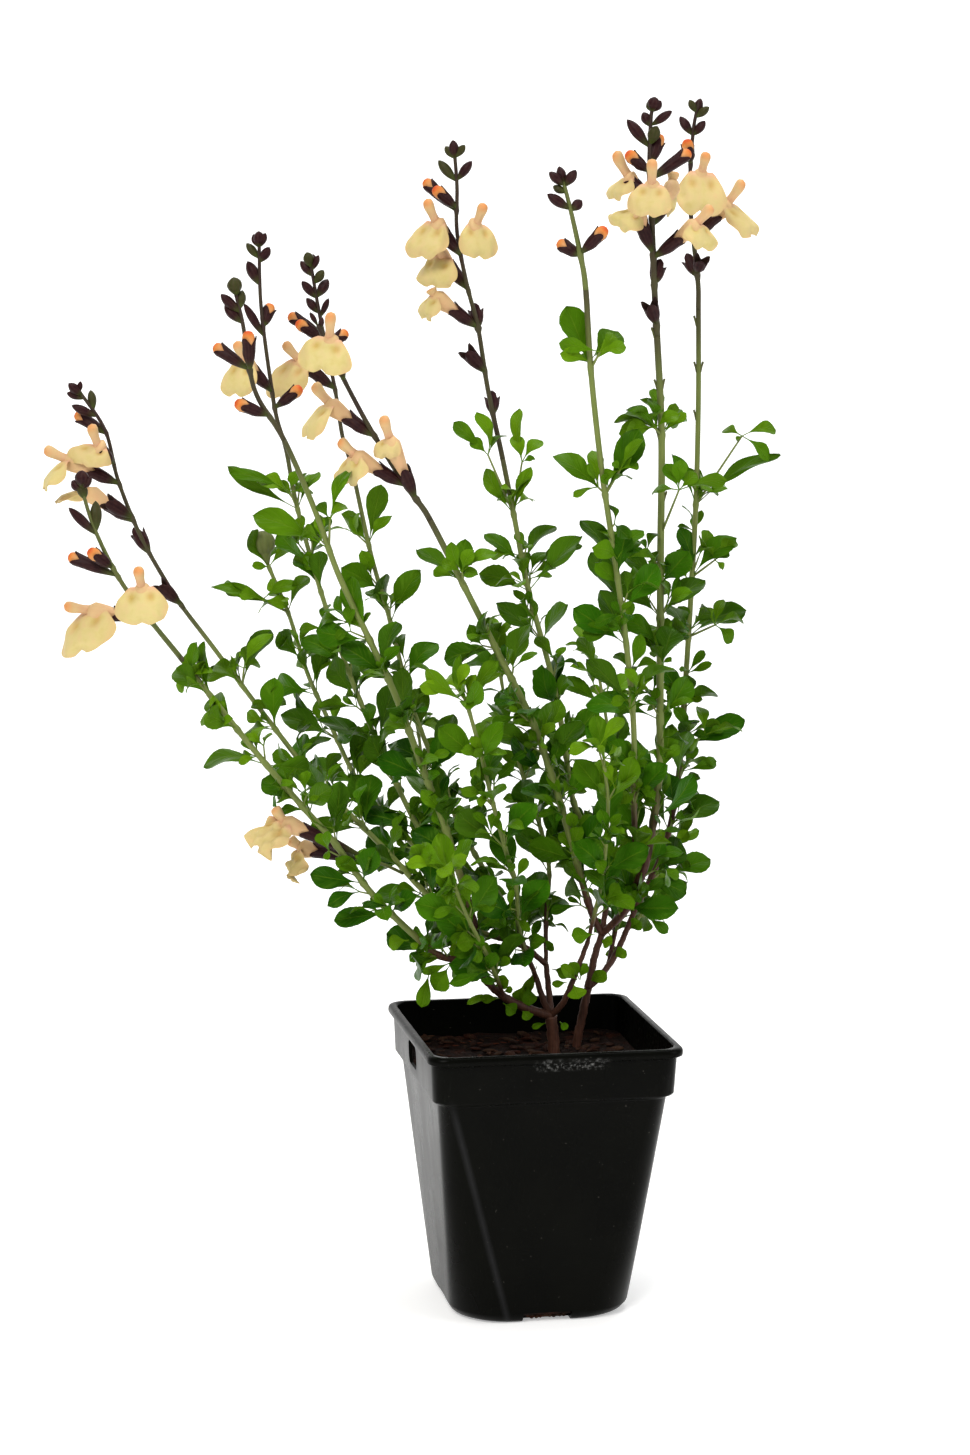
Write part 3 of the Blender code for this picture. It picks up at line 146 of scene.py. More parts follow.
# Leafy stems: what each joins, foot and top radius in mm, places from foot to top, and those of its spike.
Stem = namedtuple("Stem", "joins thick slim leafy spike")
STEMS = {
    "far_left": Stem("fork_back", 1.6, 1.15,
        [(546, 958, 26), (519, 944, 17), (473, 929, 9), (427, 894, 8), (397, 862, 9), (369, 833, 14),
         (314, 777.7, 24), (258.4, 707, 33), (207.7, 640, 40), (184, 609, 42)],
        [(165, 580, 43), (140, 535, 45), (118, 480, 46), (105, 430, 46), (77, 388, 44)]),
    "left": Stem("fork_left", 1.7, 1.3,
        [(476, 960, 1), (442.5, 957, -8), (415, 936, -14), (371, 892.5, -20), (333, 841, -26),
         (302, 806, -30), (256.5, 753, -36), (208.7, 693.6, -42), (180, 657, -45)],
        [(150, 620, -47), (120, 580, -49), (95, 530, -50), (81, 487, -50)]),
    "left_tall": Stem("fork_left", 1.9, 1.25,
        [(476, 960, 1), (473, 921, -2), (456, 862, -8), (442, 818, -14), (424.9, 774, -20), (396, 697, -30),
         (369.6, 640, -36), (339, 575.7, -42), (314, 508, -46), (284, 440, -49)],
        [(258, 398, -50), (248.7, 365, -50), (243, 325, -49), (234, 287, -48)]),
    "left_back": Stem("left_tall", 1.4, 1.1,
        [(468.5, 905, -4), (455, 885, 6), (440, 862, 16), (413, 818, 28), (377, 741, 39), (348, 670, 48),
         (321, 592, 56), (297.3, 508, 62), (286, 449.6, 64)],
        [(277, 419, 65), (270.7, 382.6, 66), (261, 306, 66), (259, 239, 65)]),
    "seed_head": Stem("left_tall", 1.4, 1.0,
        [(472, 920, -2), (463, 902, 5), (446, 880, 15), (428, 860, 24), (405, 836, 34), (386, 815, 45),
         (358, 782, 58), (327, 717, 71), (307, 672, 79), (289, 615, 85), (268, 565, 89)], []),
    "thin_back": Stem("fork_up", 1.4, 1.1,
        [(536, 977, 20), (515, 925, 36), (490, 880, 50), (462, 830, 64), (435, 765, 78), (410, 700, 88),
         (391, 624, 94), (371.4, 556, 98), (352, 468.7, 99)],
        [(342.4, 436, 99), (334.8, 388, 99), (321, 322, 98), (309, 254, 95)]),
    "main": Stem("fork_middle", 1.8, 1.45,
        [(602, 934, 31), (590, 908, 25), (570, 837, 14), (554, 783, 6), (531.8, 720, -4), (496, 649, -15),
         (464, 586, -24), (430, 520, -32)],
        [(419, 503, -34), (403.7, 482, -36), (371, 430, -39), (340, 372, -41), (316, 322, -42)]),
    "centre_back": Stem("fork_middle", 1.5, 1.3,
        [(602, 934, 31), (608, 880, 42), (592, 840, 48), (573, 800, 52), (564, 739.6, 55), (551.4, 675.4, 58),
         (528, 588, 61), (514.8, 520, 61), (502.7, 459, 60)],
        [(488, 390, 58), (478, 327.6, 55), (467, 285, 52), (457, 231.6, 49), (457, 187, 47),
         (453.6, 142, 45)]),
    "right_tall": Stem("fork_middle", 2.0, 1.6,
        [(602, 934, 31), (624, 911.8, 23), (636.4, 885, 17), (647, 858, 12), (658.8, 778, 3), (660, 700, -3),
         (660.5, 563.7, -10), (661.6, 437, -16), (657, 336, -19)],
        [(654.5, 290, -20), (652.5, 233, -21), (649.4, 172, -21), (651, 118, -20), (654.8, 100, -20)]),
    "bud_stem": Stem("right_tall", 1.4, 1.35,
        [(638.4, 880, 16), (635.5, 855, 4), (634, 800, -8), (633.6, 725, -18), (626.4, 645, -29),
         (614, 553, -42), (601.6, 469, -54), (591, 372, -62), (585.8, 290, -66)],
        [(580.6, 256, -67), (570.6, 210, -67), (560, 169, -66)]),
    "right_back": Stem("fork_right", 1.5, 1.3,
        [(634, 912, 41), (650, 880, 50), (666.8, 840, 58), (679.3, 769, 68), (685, 690, 76), (691, 595, 82),
         (696, 500, 86), (698.4, 400, 88), (698.4, 309.6, 88)],
        [(697.7, 279, 88), (690, 200, 86), (693, 133.6, 84), (699, 101, 82)]),
    "light_front": Stem("fork_up", 1.3, 0.9,
        [(536, 977, 20), (520, 935, 0), (516, 885, -18), (506.9, 854.6, -28), (491.8, 799, -42),
         (480, 750, -52), (466, 700, -60)], []),
    "centre_rear": Stem("fork_back", 1.2, 0.8,
        [(546, 964, 26), (546, 919, 36), (549, 867, 44), (538, 820, 54), (524, 780, 62), (512, 735, 70),
         (503, 690, 77), (497, 650, 82)], []),
    "right_rear": Stem("fork_right", 1.2, 0.8,
        [(607, 967, 33), (616, 925, 52), (622, 870, 70), (618, 800, 86), (608, 730, 100), (598, 670, 110)], []),
    "right_front": Stem("fork_front", 1.1, 0.8,
        [(588, 941, 8), (600, 890, -8), (606, 845, -24), (608, 800, -38), (604, 765, -50)], []),
    "left_rear": Stem("fork_left", 1.2, 0.8,
        [(484, 978, 5), (470, 930, 28), (450, 872, 54), (434, 820, 78), (424, 772, 100), (418, 730, 116)], []),
    "low_front": Stem("fork_left", 1.1, 0.8,
        [(503.8, 996.5, 10), (490, 962, -18), (474, 930, -40), (460, 900, -58), (450, 872, -74)], []),
    "low_right": Stem("fork_right", 1.1, 0.8,
        [(626, 931.4, 38), (643, 912, 56), (660, 884, 74), (672, 850, 88)], []),
    "low_left": Stem("far_left", 0.9, 0.8,
        [(411, 878, 6), (400, 872, -2)],
        [(385, 865, -12), (364, 858, -20)]),
}


def listed(table):
    """The rows of a table by stem, each with the name of its stem in front."""
    return [(stem, *row) for stem, rows in table.items() for row in rows]


# Pairs of leaves read off the view: pixel row of the node, tip of the left leaf, tip of the right one.
PAIRS = listed({
    "far_left": [(686, (216, 659), (270, 626)), (730, (247, 726), (274, 677)), (770, (280, 762), (300, 744))],
    "left": [(697, (181, 666), (203, 641)), (765, (199, 756), (308, 776)), (807, (261, 776), (330, 785)),
        (883, (310, 874), (374, 845)), (913, (334, 921), (412, 890))],
    "left_tall": [(549, (251, 513), (346, 458)), (640, (312, 631), (348, 575)),
        (861, (411, 827), (478, 820))],
    "left_back": [(509, (227, 466), (317, 470)), (592, (295, 552), (320, 549)),
        (671, (301, 634), (350, 643))],
    "seed_head": [(612, (211, 586), (309, 572)), (662, (281, 628), (328, 640)),
        (740, (279, 711), (352, 729))],
    "thin_back": [(545, (344, 520), (381, 482)), (623, (381, 570), (420, 568))],
    "main": [(586, (416, 549), (464, 537)), (649, (444, 662), (479, 608)), (750, (494, 729), (556, 700)),
        (807, (520, 790), (594, 763))],
    "centre_back": [(514, (481, 466), (531, 466)), (591, (478, 572), (582, 536)),
        (643, (496, 603), (565, 612))],
    "bud_stem": [(369, (566, 306), (619, 330)), (495, (553, 452), (640, 427)), (577, (581, 519), (627, 523)),
        (645, (573, 608), (600, 590)), (774, (586, 726), (604, 728))],
    "right_tall": [(436, (628, 412), (678, 418)), (585, (618, 551), (687, 549)),
        (648, (627, 613), (690, 620)), (720, (584, 701), (690, 678)), (778, (632, 752), (671, 726)),
        (878, (610, 815), (690, 893))],
    "right_back": [(505, (672, 454), (781, 446)), (577, (680, 527), (737, 535)),
        (637, (669, 605), (747, 609)), (709, (664, 668), (711, 687)), (748, (690, 715), (745, 720)),
        (808, (668, 770), (702, 794))],
})

# Open flowers read off the view: stem, pixel row of the stalk, mouth, tip of the hood, end of the lower lip,
# width of the lip in pixels, how many millimetres nearer to the view than its stalk the mouth is, and how far the
# flower turns to the view, from 0 for sideways to 1.
FLOWERS = [
    ("far_left", 484, (66, 460), (44, 448), (42, 487), 42, 3, 0.1),
    ("far_left", 464, (97, 446), (93, 424), (83, 464), 40, 9, 0.5),
    ("far_left", 522, (88, 492), (76, 478), (57, 499), 34, -8, 0.1),
    ("left", 622, (141, 587), (139, 566), (143, 622), 53, 17, 1.0),
    ("left", 618, (90, 611), (67, 604), (85, 651), 42, -5, 0.6),
    ("left_back", 392, (244, 361), (238, 341), (237, 395), 34, 10, 0.6),
    ("main", 380, (329, 338), (333, 312), (322, 372), 54, 17, 0.9),
    ("thin_back", 389, (298, 360), (286, 342), (281, 398), 36, 8, 0.5),
    ("main", 437, (328, 404), (316, 383), (307, 436), 36, -6, 0.4),
    ("main", 486, (354, 456), (340, 439), (346, 485), 34, 2, 0.2),
    ("main", 499, (389, 439), (385, 415), (386, 457), 28, 10, 0.9),
    ("centre_back", 256, (435, 222), (429, 199), (424, 257), 42, 8, 0.9),
    ("centre_back", 248, (477, 224), (483, 203), (478, 257), 40, 13, 0.9),
    ("centre_back", 290, (442, 257), (439, 246), (434, 286), 34, -9, 0.4),
    ("centre_back", 328, (434, 296), (431, 288), (424, 318), 30, 4, 0.3),
    ("right_tall", 198, (627, 178), (619, 151), (614, 197), 34, -5, 0.5),
    ("right_tall", 218, (652, 184), (652, 159), (648, 215), 44, 20, 1.0),
    ("right_tall", 226, (674, 184), (671, 171), (667, 216), 33, -23, 0.5),
    ("right_tall", 254, (636, 212), (634, 200), (618, 226), 34, 5, 0.4),
    ("right_tall", 258, (698, 224), (710, 205), (703, 248), 34, 6, 0.5),
    ("right_back", 210, (702, 172), (706, 152), (699, 214), 54, 20, 1.0),
    ("right_back", 238, (729, 204), (740, 180), (750, 235), 36, -4, 0.5),
    ("low_left", 862, (283, 822), (276, 807), (257, 849), 38, 12, 0.5),
    ("low_left", 861, (300, 848), (290, 838), (292, 879), 32, -8, 0.3),
]

# Orange buds about to open: pixel row of the stalk, tip.
OPENING = listed({
    "thin_back": [(336, (288, 315)), (340, (297, 322)), (346, (347, 332))],
    "left_tall": [(416, (236, 402)), (370, (213, 346)), (372, (249, 331))],
    "left_back": [(327, (270, 304)), (408, (302, 387))],
    "centre_back": [(211, (424, 180)), (208, (434, 188))],
    "bud_stem": [(256, (558, 242)), (254, (606, 228))],
    "right_tall": [(166, (661, 134)), (172, (626, 153)), (180, (691, 151))],
    "right_back": [(164, (686, 140))],
    "left": [(576, (67, 557)), (568, (90, 549))],
    "far_left": [(434, (74, 414))],
})

# Empty three-pointed calyces: pixel row of the stalk, tip.
SPENT = listed({
    "centre_back": [(328, (475, 306)), (372, (464, 348)), (414, (492, 394))],
    "far_left": [(517, (105, 499)), (553, (134, 530)), (604, (158, 581))],
    "right_tall": [(284, (660, 262)), (324, (648, 300))],
    "right_back": [(276, (688, 256)), (272, (702, 256))],
})

# Closed dark buds of each spike: pixel row of the foot, tip, width in pixels.
CLOSED = {
    "far_left": [(396, 69, 383, 9), (399, 66, 393, 8), (392, 81, 381, 5), (411, 90, 390, 9), (417, 72, 405, 9)],
    "left": [
        (488, 83, 470, 13), (492, 71, 481, 9), (490, 92, 477, 7), (500, 80, 484, 10), (536, 69, 507, 9),
        (533, 95, 501, 10),
    ],
    "left_tall": [(296, 234, 277, 14), (310, 242, 290, 8), (313, 221, 294, 9), (324, 224, 305, 10)],
    "left_back": [
        (248, 259, 231, 11), (248, 253, 234, 8), (248, 266, 233, 8), (259, 246, 243, 8), (263, 270, 247, 9),
        (286, 247, 261, 11), (338, 244, 303, 8),
    ],
    "thin_back": [
        (268, 307, 252, 10), (268, 313, 254, 8), (271, 319, 255, 7), (277, 300, 261, 8), (284, 324, 270, 9),
        (298, 328, 279, 11), (299, 302, 281, 9), (314, 306, 298, 9), (318, 329, 298, 6),
    ],
    "main": [(326, 310, 312, 5), (330, 322, 317, 5)],
    "centre_back": [
        (160, 453, 140, 9), (159, 445, 146, 8), (158, 465, 145, 8), (182, 438, 160, 9), (181, 472, 161, 9),
    ],
    "right_tall": [
        (112, 655, 97, 12), (112, 649, 101, 8), (112, 661, 101, 8), (127, 643, 112, 9), (126, 672, 111, 8),
        (148, 627, 119, 10), (145, 657, 126, 11),
    ],
    "bud_stem": [
        (186, 549, 172, 9), (186, 559, 166, 9), (187, 576, 170, 9), (193, 553, 186, 8), (210, 547, 194, 9),
        (211, 582, 200, 9),
    ],
    "right_back": [
        (113, 689, 100, 7), (116, 701, 98, 9), (118, 709, 107, 8), (136, 680, 116, 9), (136, 705, 121, 9),
    ],
}

SEED_HEAD = (263, 543, 89)  # place of the middle of the round seed head
SEED_HEAD_WIDE = 0.0125

Leaf = namedtuple("Leaf", "stem place root along face long wide bow fold wave")


def chance(*key):
    """Random numbers of their own for each key, the same on each run."""
    return np.random.default_rng((SEED, *key))


def unit(vector):
    """The vector's direction, one long."""
    return vector / norm(vector)


def view_axes():
    """The view's eye point and its unit vectors: forward, right, up, and forward along the ground."""
    level = math.cos(VIEW_TILT)
    back = np.array([math.sin(VIEW_TURN) * level, -math.cos(VIEW_TURN) * level, math.sin(VIEW_TILT)])
    level_right = unit(np.cross(-back, (0, 0, 1)))
    level_up = np.cross(level_right, -back)
    right = math.cos(VIEW_ROLL) * level_right + math.sin(VIEW_ROLL) * level_up
    up = math.cos(VIEW_ROLL) * level_up - math.sin(VIEW_ROLL) * level_right
    eye = np.array([0, 0, VIEW_AIM[1]]) + level_right * VIEW_AIM[0] + back * VIEW_AWAY
    inward = np.array([-math.sin(VIEW_TURN), math.cos(VIEW_TURN), 0])
    return eye, -back, right, up, inward


EYE, FORWARD, RIGHT, UP, INWARD = view_axes()


def spot(across, down, depth):
    """The place seen at a pixel, on the upright plane that lies depth metres behind the pot's middle."""
    ray = FORWARD + (across - VIEW_MIDDLE[0]) / VIEW_FOCAL * RIGHT - (down - VIEW_MIDDLE[1]) / VIEW_FOCAL * UP
    return EYE + ray * ((depth - EYE @ INWARD) / (ray @ INWARD))


def row_of(points):
    """The pixel row at which each place is seen."""
    offset = points - EYE
    return VIEW_MIDDLE[1] - VIEW_FOCAL * (offset @ UP) / (offset @ FORWARD)


class Route:
    """A smooth curve through places in space (Catmull-Rom), measured along its length."""

    STEPS = 16

    def __init__(self, ends):
        ends = np.vstack([2 * ends[0] - ends[1], ends, 2 * ends[-1] - ends[-2]])
        t = np.linspace(0, 1, self.STEPS, endpoint=False)[:, None]
        spans = []
        for a, b, c, d in zip(ends, ends[1:], ends[2:], ends[3:]):
            cubic = (3 * b - a - 3 * c + d) * t**3 + (2 * a - 5 * b + 4 * c - d) * t**2
            spans.append(0.5 * (2 * b + (c - a) * t + cubic))
        self.points = np.vstack([*spans, ends[-2:-1]])
        steps = norm(np.diff(self.points, axis=0), axis=1)
        self.reach = np.concatenate([[0], np.cumsum(steps)])
        self.long = self.reach[-1]
        self.rows = row_of(self.points)

    def at(self, along):
        return np.stack([np.interp(along, self.reach, self.points[:, k]) for k in range(3)], axis=-1)

    def heading(self, along):
        return unit(self.at(min(along + 0.002, self.long)) - self.at(max(along - 0.002, 0)))

    def on_row(self, row):
        """How far along the curve it is last seen at this pixel row."""
        return float(np.interp(-row, -self.rows, self.reach))


def lay_routes():
    """Routes of branches and stems, each foot on the middle of what it joins, and where each spike begins."""
    routes, spike_from = {}, {}
    for name, plan in [*BRANCHES.items(), *STEMS.items()]:
        leafy = plan.places if isinstance(plan, Branch) else plan.leafy
        spike = [] if isinstance(plan, Branch) else plan.spike
        ends = np.array([spot(u, v, depth / 1000) for u, v, depth in [*leafy, *spike]])
        if plan.joins is None:
            ends = np.vstack([ends[0] + (0.0, 0.0, SOIL_TOP - TRUNK_SUNK - ends[0][2]), ends[1:]])
        else:
            host = routes[plan.joins]
            ends[0] = host.at(host.on_row(leafy[0][1]))
        routes[name] = Route(ends)
        if spike:
            spike_from[name] = float(routes[name].reach[Route.STEPS * (len(leafy) - 1)])
    return routes, spike_from


ROUTES, SPIKE_FROM = lay_routes()


def thickness(name, along):
    """Radius of a branch or stem, in metres: even taper from foot to top, and a slim rachis in the spike."""
    plan = {**BRANCHES, **STEMS}[name]
    end = SPIKE_FROM.get(name, ROUTES[name].long)
    taper = np.clip(np.asarray(along) / end, 0, 1)
    radius = (plan.thick + (plan.slim - plan.thick) * taper) / 1000
    past = np.clip((np.asarray(along) - end) / max(ROUTES[name].long - end, 1e-6), 0, 1)
    return radius + (RACHIS_SLIM - radius) * past


def leaf_points(leaf, t, s):
    """Middle surface of a leaf: t runs from root to tip and s from edge to edge.

    The half width is a thin stalk that opens into a sine lobe widest past its middle. The height is half a sine
    wave along the length, plus a fold that grows with the distance from the midrib, plus a sine wave that is
    highest at the edges.
    """
    t, s = np.asarray(t, float)[:, None], np.asarray(s, float)[None, :]
    blade = np.clip((t - LEAF_STALK) / (1 - LEAF_STALK), 0, 1)
    half = LEAF_STALK_HALF + leaf.wide / 2 * np.sin(math.pi * blade**LEAF_SPREAD) ** 0.7
    rise = leaf.long * leaf.bow * np.sin(math.pi * t)
    rise = rise + half * (leaf.fold * np.abs(s) + leaf.wave * s * np.sin(7 * t + 2 * leaf.fold))
    side = np.cross(leaf.along, leaf.face)
    spread = (half * s)[..., None] * side
    return leaf.root + (leaf.long * t)[..., None] * leaf.along + spread + rise[..., None] * leaf.face


LEAF_STALK = 0.20
LEAF_STALK_HALF = 0.0006
LEAF_SPREAD = 1.4
LEAF_ROWS = (0.45, 0.77)
LEAF_RING = 4
LEAF_FREE = 0.08  # how far along a leaf it starts to count as one that others must keep clear of


def leaf_solid(leaf):
    """Points of a leaf and the room round it, from its root point through two flat rings of four to its tip."""
    rise = leaf.face * (LEAF_THICK / 2 + LEAF_CLEAR)
    root, tip = leaf_points(leaf, (LEAF_FREE, 1.0), (0,))[:, 0]
    points = [root]
    for row in leaf_points(leaf, LEAF_ROWS, (-1, 1)):
        points += [*(row + rise), *(row[::-1] - rise)]
    return np.array([*points, tip])


def leaf_faces():
    """Triangles between a leaf's root, its two rings and its tip, split alike on both faces."""
    first, second, tip = 1, 1 + LEAF_RING, 1 + 2 * LEAF_RING
    faces = []
    for k in range(LEAF_RING):
        j = (k + 1) % LEAF_RING
        faces += [(0, first + k, first + j), (tip, second + j, second + k)]
        if k == 0:
            faces += [(first + k, second + k, second + j), (first + k, second + j, first + j)]
        else:
            faces += [(first + k, second + k, first + j), (second + k, second + j, first + j)]
    return faces


LEAF_FACES = leaf_faces()


def leaf_tree(leaf):
    """A search tree of the leaf with the clear room round it, without its root."""
    points = [Vector(p) for p in leaf_solid(leaf)]
    return BVHTree.FromPolygons(points, LEAF_FACES, all_triangles=True)


def tube_tree(points, radii):
    """A search tree of a square tube with the clear room round it."""
    corners, faces = [], []
    for k, (point, radius) in enumerate(zip(points, radii)):
        ahead = unit(points[min(k + 1, len(points) - 1)] - points[max(k - 1, 0)])
        side = unit(np.cross(ahead, INWARD))
        front = np.cross(ahead, side)
        wide = radius + 2 * LEAF_CLEAR
        for a, b in ((1, 0), (0, 1), (-1, 0), (0, -1)):
            corners.append(Vector(point + wide * (a * side + b * front)))
        if k:
            for j in range(4):
                here, there = 4 * k + j, 4 * k + (j + 1) % 4
                faces += [(here - 4, there - 4, there), (here - 4, there, here)]
    return BVHTree.FromPolygons(corners, faces, all_triangles=True)


def stem_obstacles():
    """A search tree round each branch and stem, with its name."""
    found = []
    for name, route in ROUTES.items():
        places = np.linspace(0, route.long, max(3, int(route.long / OBSTACLE_STEP)))
        found.append((name, tube_tree(route.at(places), thickness(name, places))))
    return found


OBSTACLE_STEP = 0.012


def flower_obstacles():
    """A rough hull round each flower, from its stalk past its mouth to hood and lip."""
    found = []
    for flower in place_flowers():
        ahead = flower.mouth + flower.out * 0.001
        face_radii = (flower.wide * 0.4, flower.wide * 0.5, 0.004)
        found.append(("flower", tube_tree(np.array([flower.root, ahead]), (0.002, 0.004))))
        found.append(("flower", tube_tree(np.array([flower.lip, ahead, flower.hood]), face_radii)))
    return found


def across(heading, angle):
    """Unit vector square to a heading, turned by an angle from the view's right."""
    right = unit(np.cross(heading, INWARD))
    front = np.cross(heading, right)
    return math.cos(angle) * right + math.sin(angle) * front


FRONT_SHARE = 0.72  # share of the leaves that face the light in front rather than the one behind


def blade_face(along, heading, root, draw):
    """Which way a blade faces: up its stem, out from the plant and to the light in front or behind, mixed."""
    out = np.array([root[0], root[1], 0.0]) + 1e-6
    light = -INWARD if draw[0] < FRONT_SHARE else INWARD
    mix = 0.6 * heading + 0.25 * unit(out) + 0.5 * light + 0.9 * (draw[1:4] - 0.5)
    return unit(mix - (mix @ along) * along)


def shaped_leaf(stem, place, along, long, draw):
    """A leaf of a given heading and length, whose width, bow, fold and wave come from eight random numbers."""
    root, heading = ROUTES[stem].at(place), ROUTES[stem].heading(place)
    face = blade_face(along, heading, root, draw)
    wide = min(long * (0.42 + 0.12 * draw[4]), LEAF_WIDEST)
    bow, fold, wave = 0.03 + 0.10 * draw[5], 0.12 + 0.25 * draw[6], 0.10 * (draw[7] - 0.5)
    return Leaf(stem, place, root, along, face, long, wide, bow, fold, wave)


def middle_of(leaf):
    """Halfway from a leaf's root to its tip."""
    return leaf.root + leaf.along * leaf.long / 2


def clear_of(leaf, grown, stems):
    """Whether a leaf stays clear of every other leaf and of every stem but its own."""
    tree = leaf_tree(leaf)
    for other, other_tree in grown:
        apart = norm(middle_of(other) - middle_of(leaf))
        if apart < (other.long + leaf.long) * 0.62 and tree.overlap(other_tree):
            return None
    for name, stem_tree in stems:
        if name != leaf.stem and tree.overlap(stem_tree):
            return None
    return tree


def settle(candidates, grown, stems):
    """Keeps the first candidate that is clear, if any is."""
    for leaf in candidates:
        tree = clear_of(leaf, grown, stems)
        if tree:
            grown.append((leaf, tree))
            return


def read_leaves(grown, stems):
    """Leaves whose tips were read off the view: each tip is as deep as its length asks for."""
    for k, (stem, row, *tips) in enumerate(PAIRS):
        rng = chance(1, k)
        route = ROUTES[stem]
        place = route.on_row(row)
        root = route.at(place)
        depth = root @ INWARD
        side = 1 if rng.random() < 0.5 else -1
        for tip in tips:
            flat = spot(*tip, depth) - root
            draw = rng.random(8)
            tries = []
            for stretch in (1.0, 0.9, 0.8):
                reach = max(norm(flat) * stretch, READ_LEAF + 0.006 * draw[0])
                deep = math.sqrt(reach**2 - (norm(flat) * stretch) ** 2)
                for lean in (side, -side, 0.5 * side, -0.5 * side):
                    along = unit(flat * stretch + lean * min(deep, READ_LEAF_DEEP) * INWARD)
                    for turn in (draw, np.roll(draw, 3), np.roll(draw, 5)):
                        tries.append(shaped_leaf(stem, place, along, reach, turn))
            settle(tries, grown, stems)
            side = -side


READ_LEAF = 0.024  # least length of a leaf that was read off the view
READ_LEAF_DEEP = 0.016  # most that its tip lies behind or in front of its root


def rule_leaves(grown, stems):
    """Opposite pairs up each stem where none was read off the view, each turned a quarter from the last."""
    for number, stem in enumerate(STEMS):
        if stem == "low_left":
            continue
        rng = chance(2, number)
        route = ROUTES[stem]
        top = SPIKE_FROM.get(stem, route.long) - (BARE_UNDER_SPIKE if stem in SPIKE_FROM else 0.001)
        taken = [route.on_row(row) for name, row, *_ in PAIRS if name == stem]
        if stem in BARE_ABOVE:
            top = route.on_row(BARE_ABOVE[stem])
        place, quarter = COLLAR + FIRST_NODE, rng.integers(2)
        while place < top:
            near = min((abs(place - other) for other in taken), default=1.0)
            if near > NODE_CLEAR * NODE_APART:
                pair_of_leaves(stem, place, quarter, rng, grown, stems, top)
            place += NODE_APART * (0.85 + 0.3 * rng.random())
            quarter += 1
        if stem not in SPIKE_FROM:
            pair_of_leaves(stem, route.long - 0.002, quarter, rng, grown, stems, top)


LEAF_TURNS = (
    (0, 0), (0.35, 0), (-0.35, 0), (0, 0.25), (0, -0.25), (0.7, 0.1), (-0.7, 0.1), (1.1, 0), (-1.1, 0),
)
NODE_APART = 0.027
NODE_CLEAR = 0.45  # share of that to keep from a pair that was read off the view
FIRST_NODE = 0.012
BARE_UNDER_SPIKE = 0.045
RULE_LEAF, RULE_LEAF_MORE = 0.024, 0.010  # least length of a leaf, and how much more at most halfway up
# Pixel row above which a stem has only the leaves that were read off the view
BARE_ABOVE = {"right_tall": 560, "right_back": 560, "bud_stem": 480, "left_tall": 600, "main": 640}


def pair_of_leaves(stem, place, quarter, rng, grown, stems, top):
    """Two opposite leaves, turned and shortened in small steps until each is clear."""
    route = ROUTES[stem]
    heading = route.heading(place)
    young = place / top
    for half in (0, 1):
        draw = rng.random(8)
        more = RULE_LEAF_MORE * math.sin(math.pi * min(1, 0.25 + 0.6 * young))
        long = RULE_LEAF + more * (0.6 + 0.6 * draw[0])
        angle = math.pi * (half + quarter / 2) + 0.9 * (draw[1] - 0.5)
        lift = math.radians(38 + 22 * draw[2])
        tries = []
        for size in (1.0, 0.84, 0.68):
            for turn, raised in LEAF_TURNS:
                out = across(heading, angle + turn)
                along = unit(math.cos(lift + raised) * out + math.sin(lift + raised) * heading)
                tries.append(shaped_leaf(stem, place, along, long * size, draw))
        settle(tries, grown, stems)


@functools.cache
def grow_leaves():
    """Every leaf, those read off the view first."""
    grown, stems = [], stem_obstacles() + flower_obstacles()
    read_leaves(grown, stems)
    rule_leaves(grown, stems)
    return [leaf for leaf, _ in grown]


Flower = namedtuple("Flower", "name stem root calyx mouth up out wide hood lip")
FACE_TURN = 1.4  # how strongly a flower that faces the view turns away from its stalk's direction
FACE_LEAN = 0.35  # how far the hood and lip of such a flower come forward, as a share of their reach
CALYX_SHARE = 0.72  # most of the way from the stalk to the mouth that a calyx may take


@functools.cache
def place_flowers():
    """Each flower's stalk, calyx end, mouth, the ways up and out, its lip's width, hood tip and lip end."""
    flowers, count = [], {}
    for stem, row, throat, hood, lip, wide, ahead, face in FLOWERS:
        count[stem] = count.get(stem, 0) + 1
        route = ROUTES[stem]
        root = route.at(route.on_row(row))
        depth = root @ INWARD - ahead / 1000
        mouth, high, low = spot(*throat, depth), spot(*hood, depth), spot(*lip, depth)
        up = unit(high - low)
        out = unit(mouth - root) - FACE_TURN * face * INWARD
        out = unit(out - (out @ up) * up)
        high = high + FACE_LEAN * face * norm(high - mouth) * out
        low = low + FACE_LEAN * face * norm(low - mouth) * out
        reach = mouth - root
        calyx = root + unit(reach) * min(CALYX_END, CALYX_SHARE * norm(reach))
        turned = math.sqrt(1 - (np.cross(out, up) @ INWARD) ** 2)
        spread = wide * PIXEL / max(0.75, turned)
        name = f"flower_{stem}_{count[stem]}"
        flowers.append(Flower(name, stem, root, calyx, mouth, up, out, spread, high, low))
    return flowers


PIXEL = VIEW_AWAY / VIEW_FOCAL  # metres a pixel, at the plant
BUD_LEAN = 0.0025


def body_half(height):
    """Half width of the pot's tapering body at a height, outside."""
    top_half = COLLAR_HALF - COLLAR_STEP - 0.001
    return FOOT_WIDE / 2 + (top_half - FOOT_WIDE / 2) * height / STEP_HIGH


def body_corner(height):
    """Radius of the pot's corners at a height: round at the foot and small at the rim."""
    share = min(height / STEP_HIGH, 1)
    return FOOT_CORNER + (RIM_CORNER - FOOT_CORNER) * share**0.8


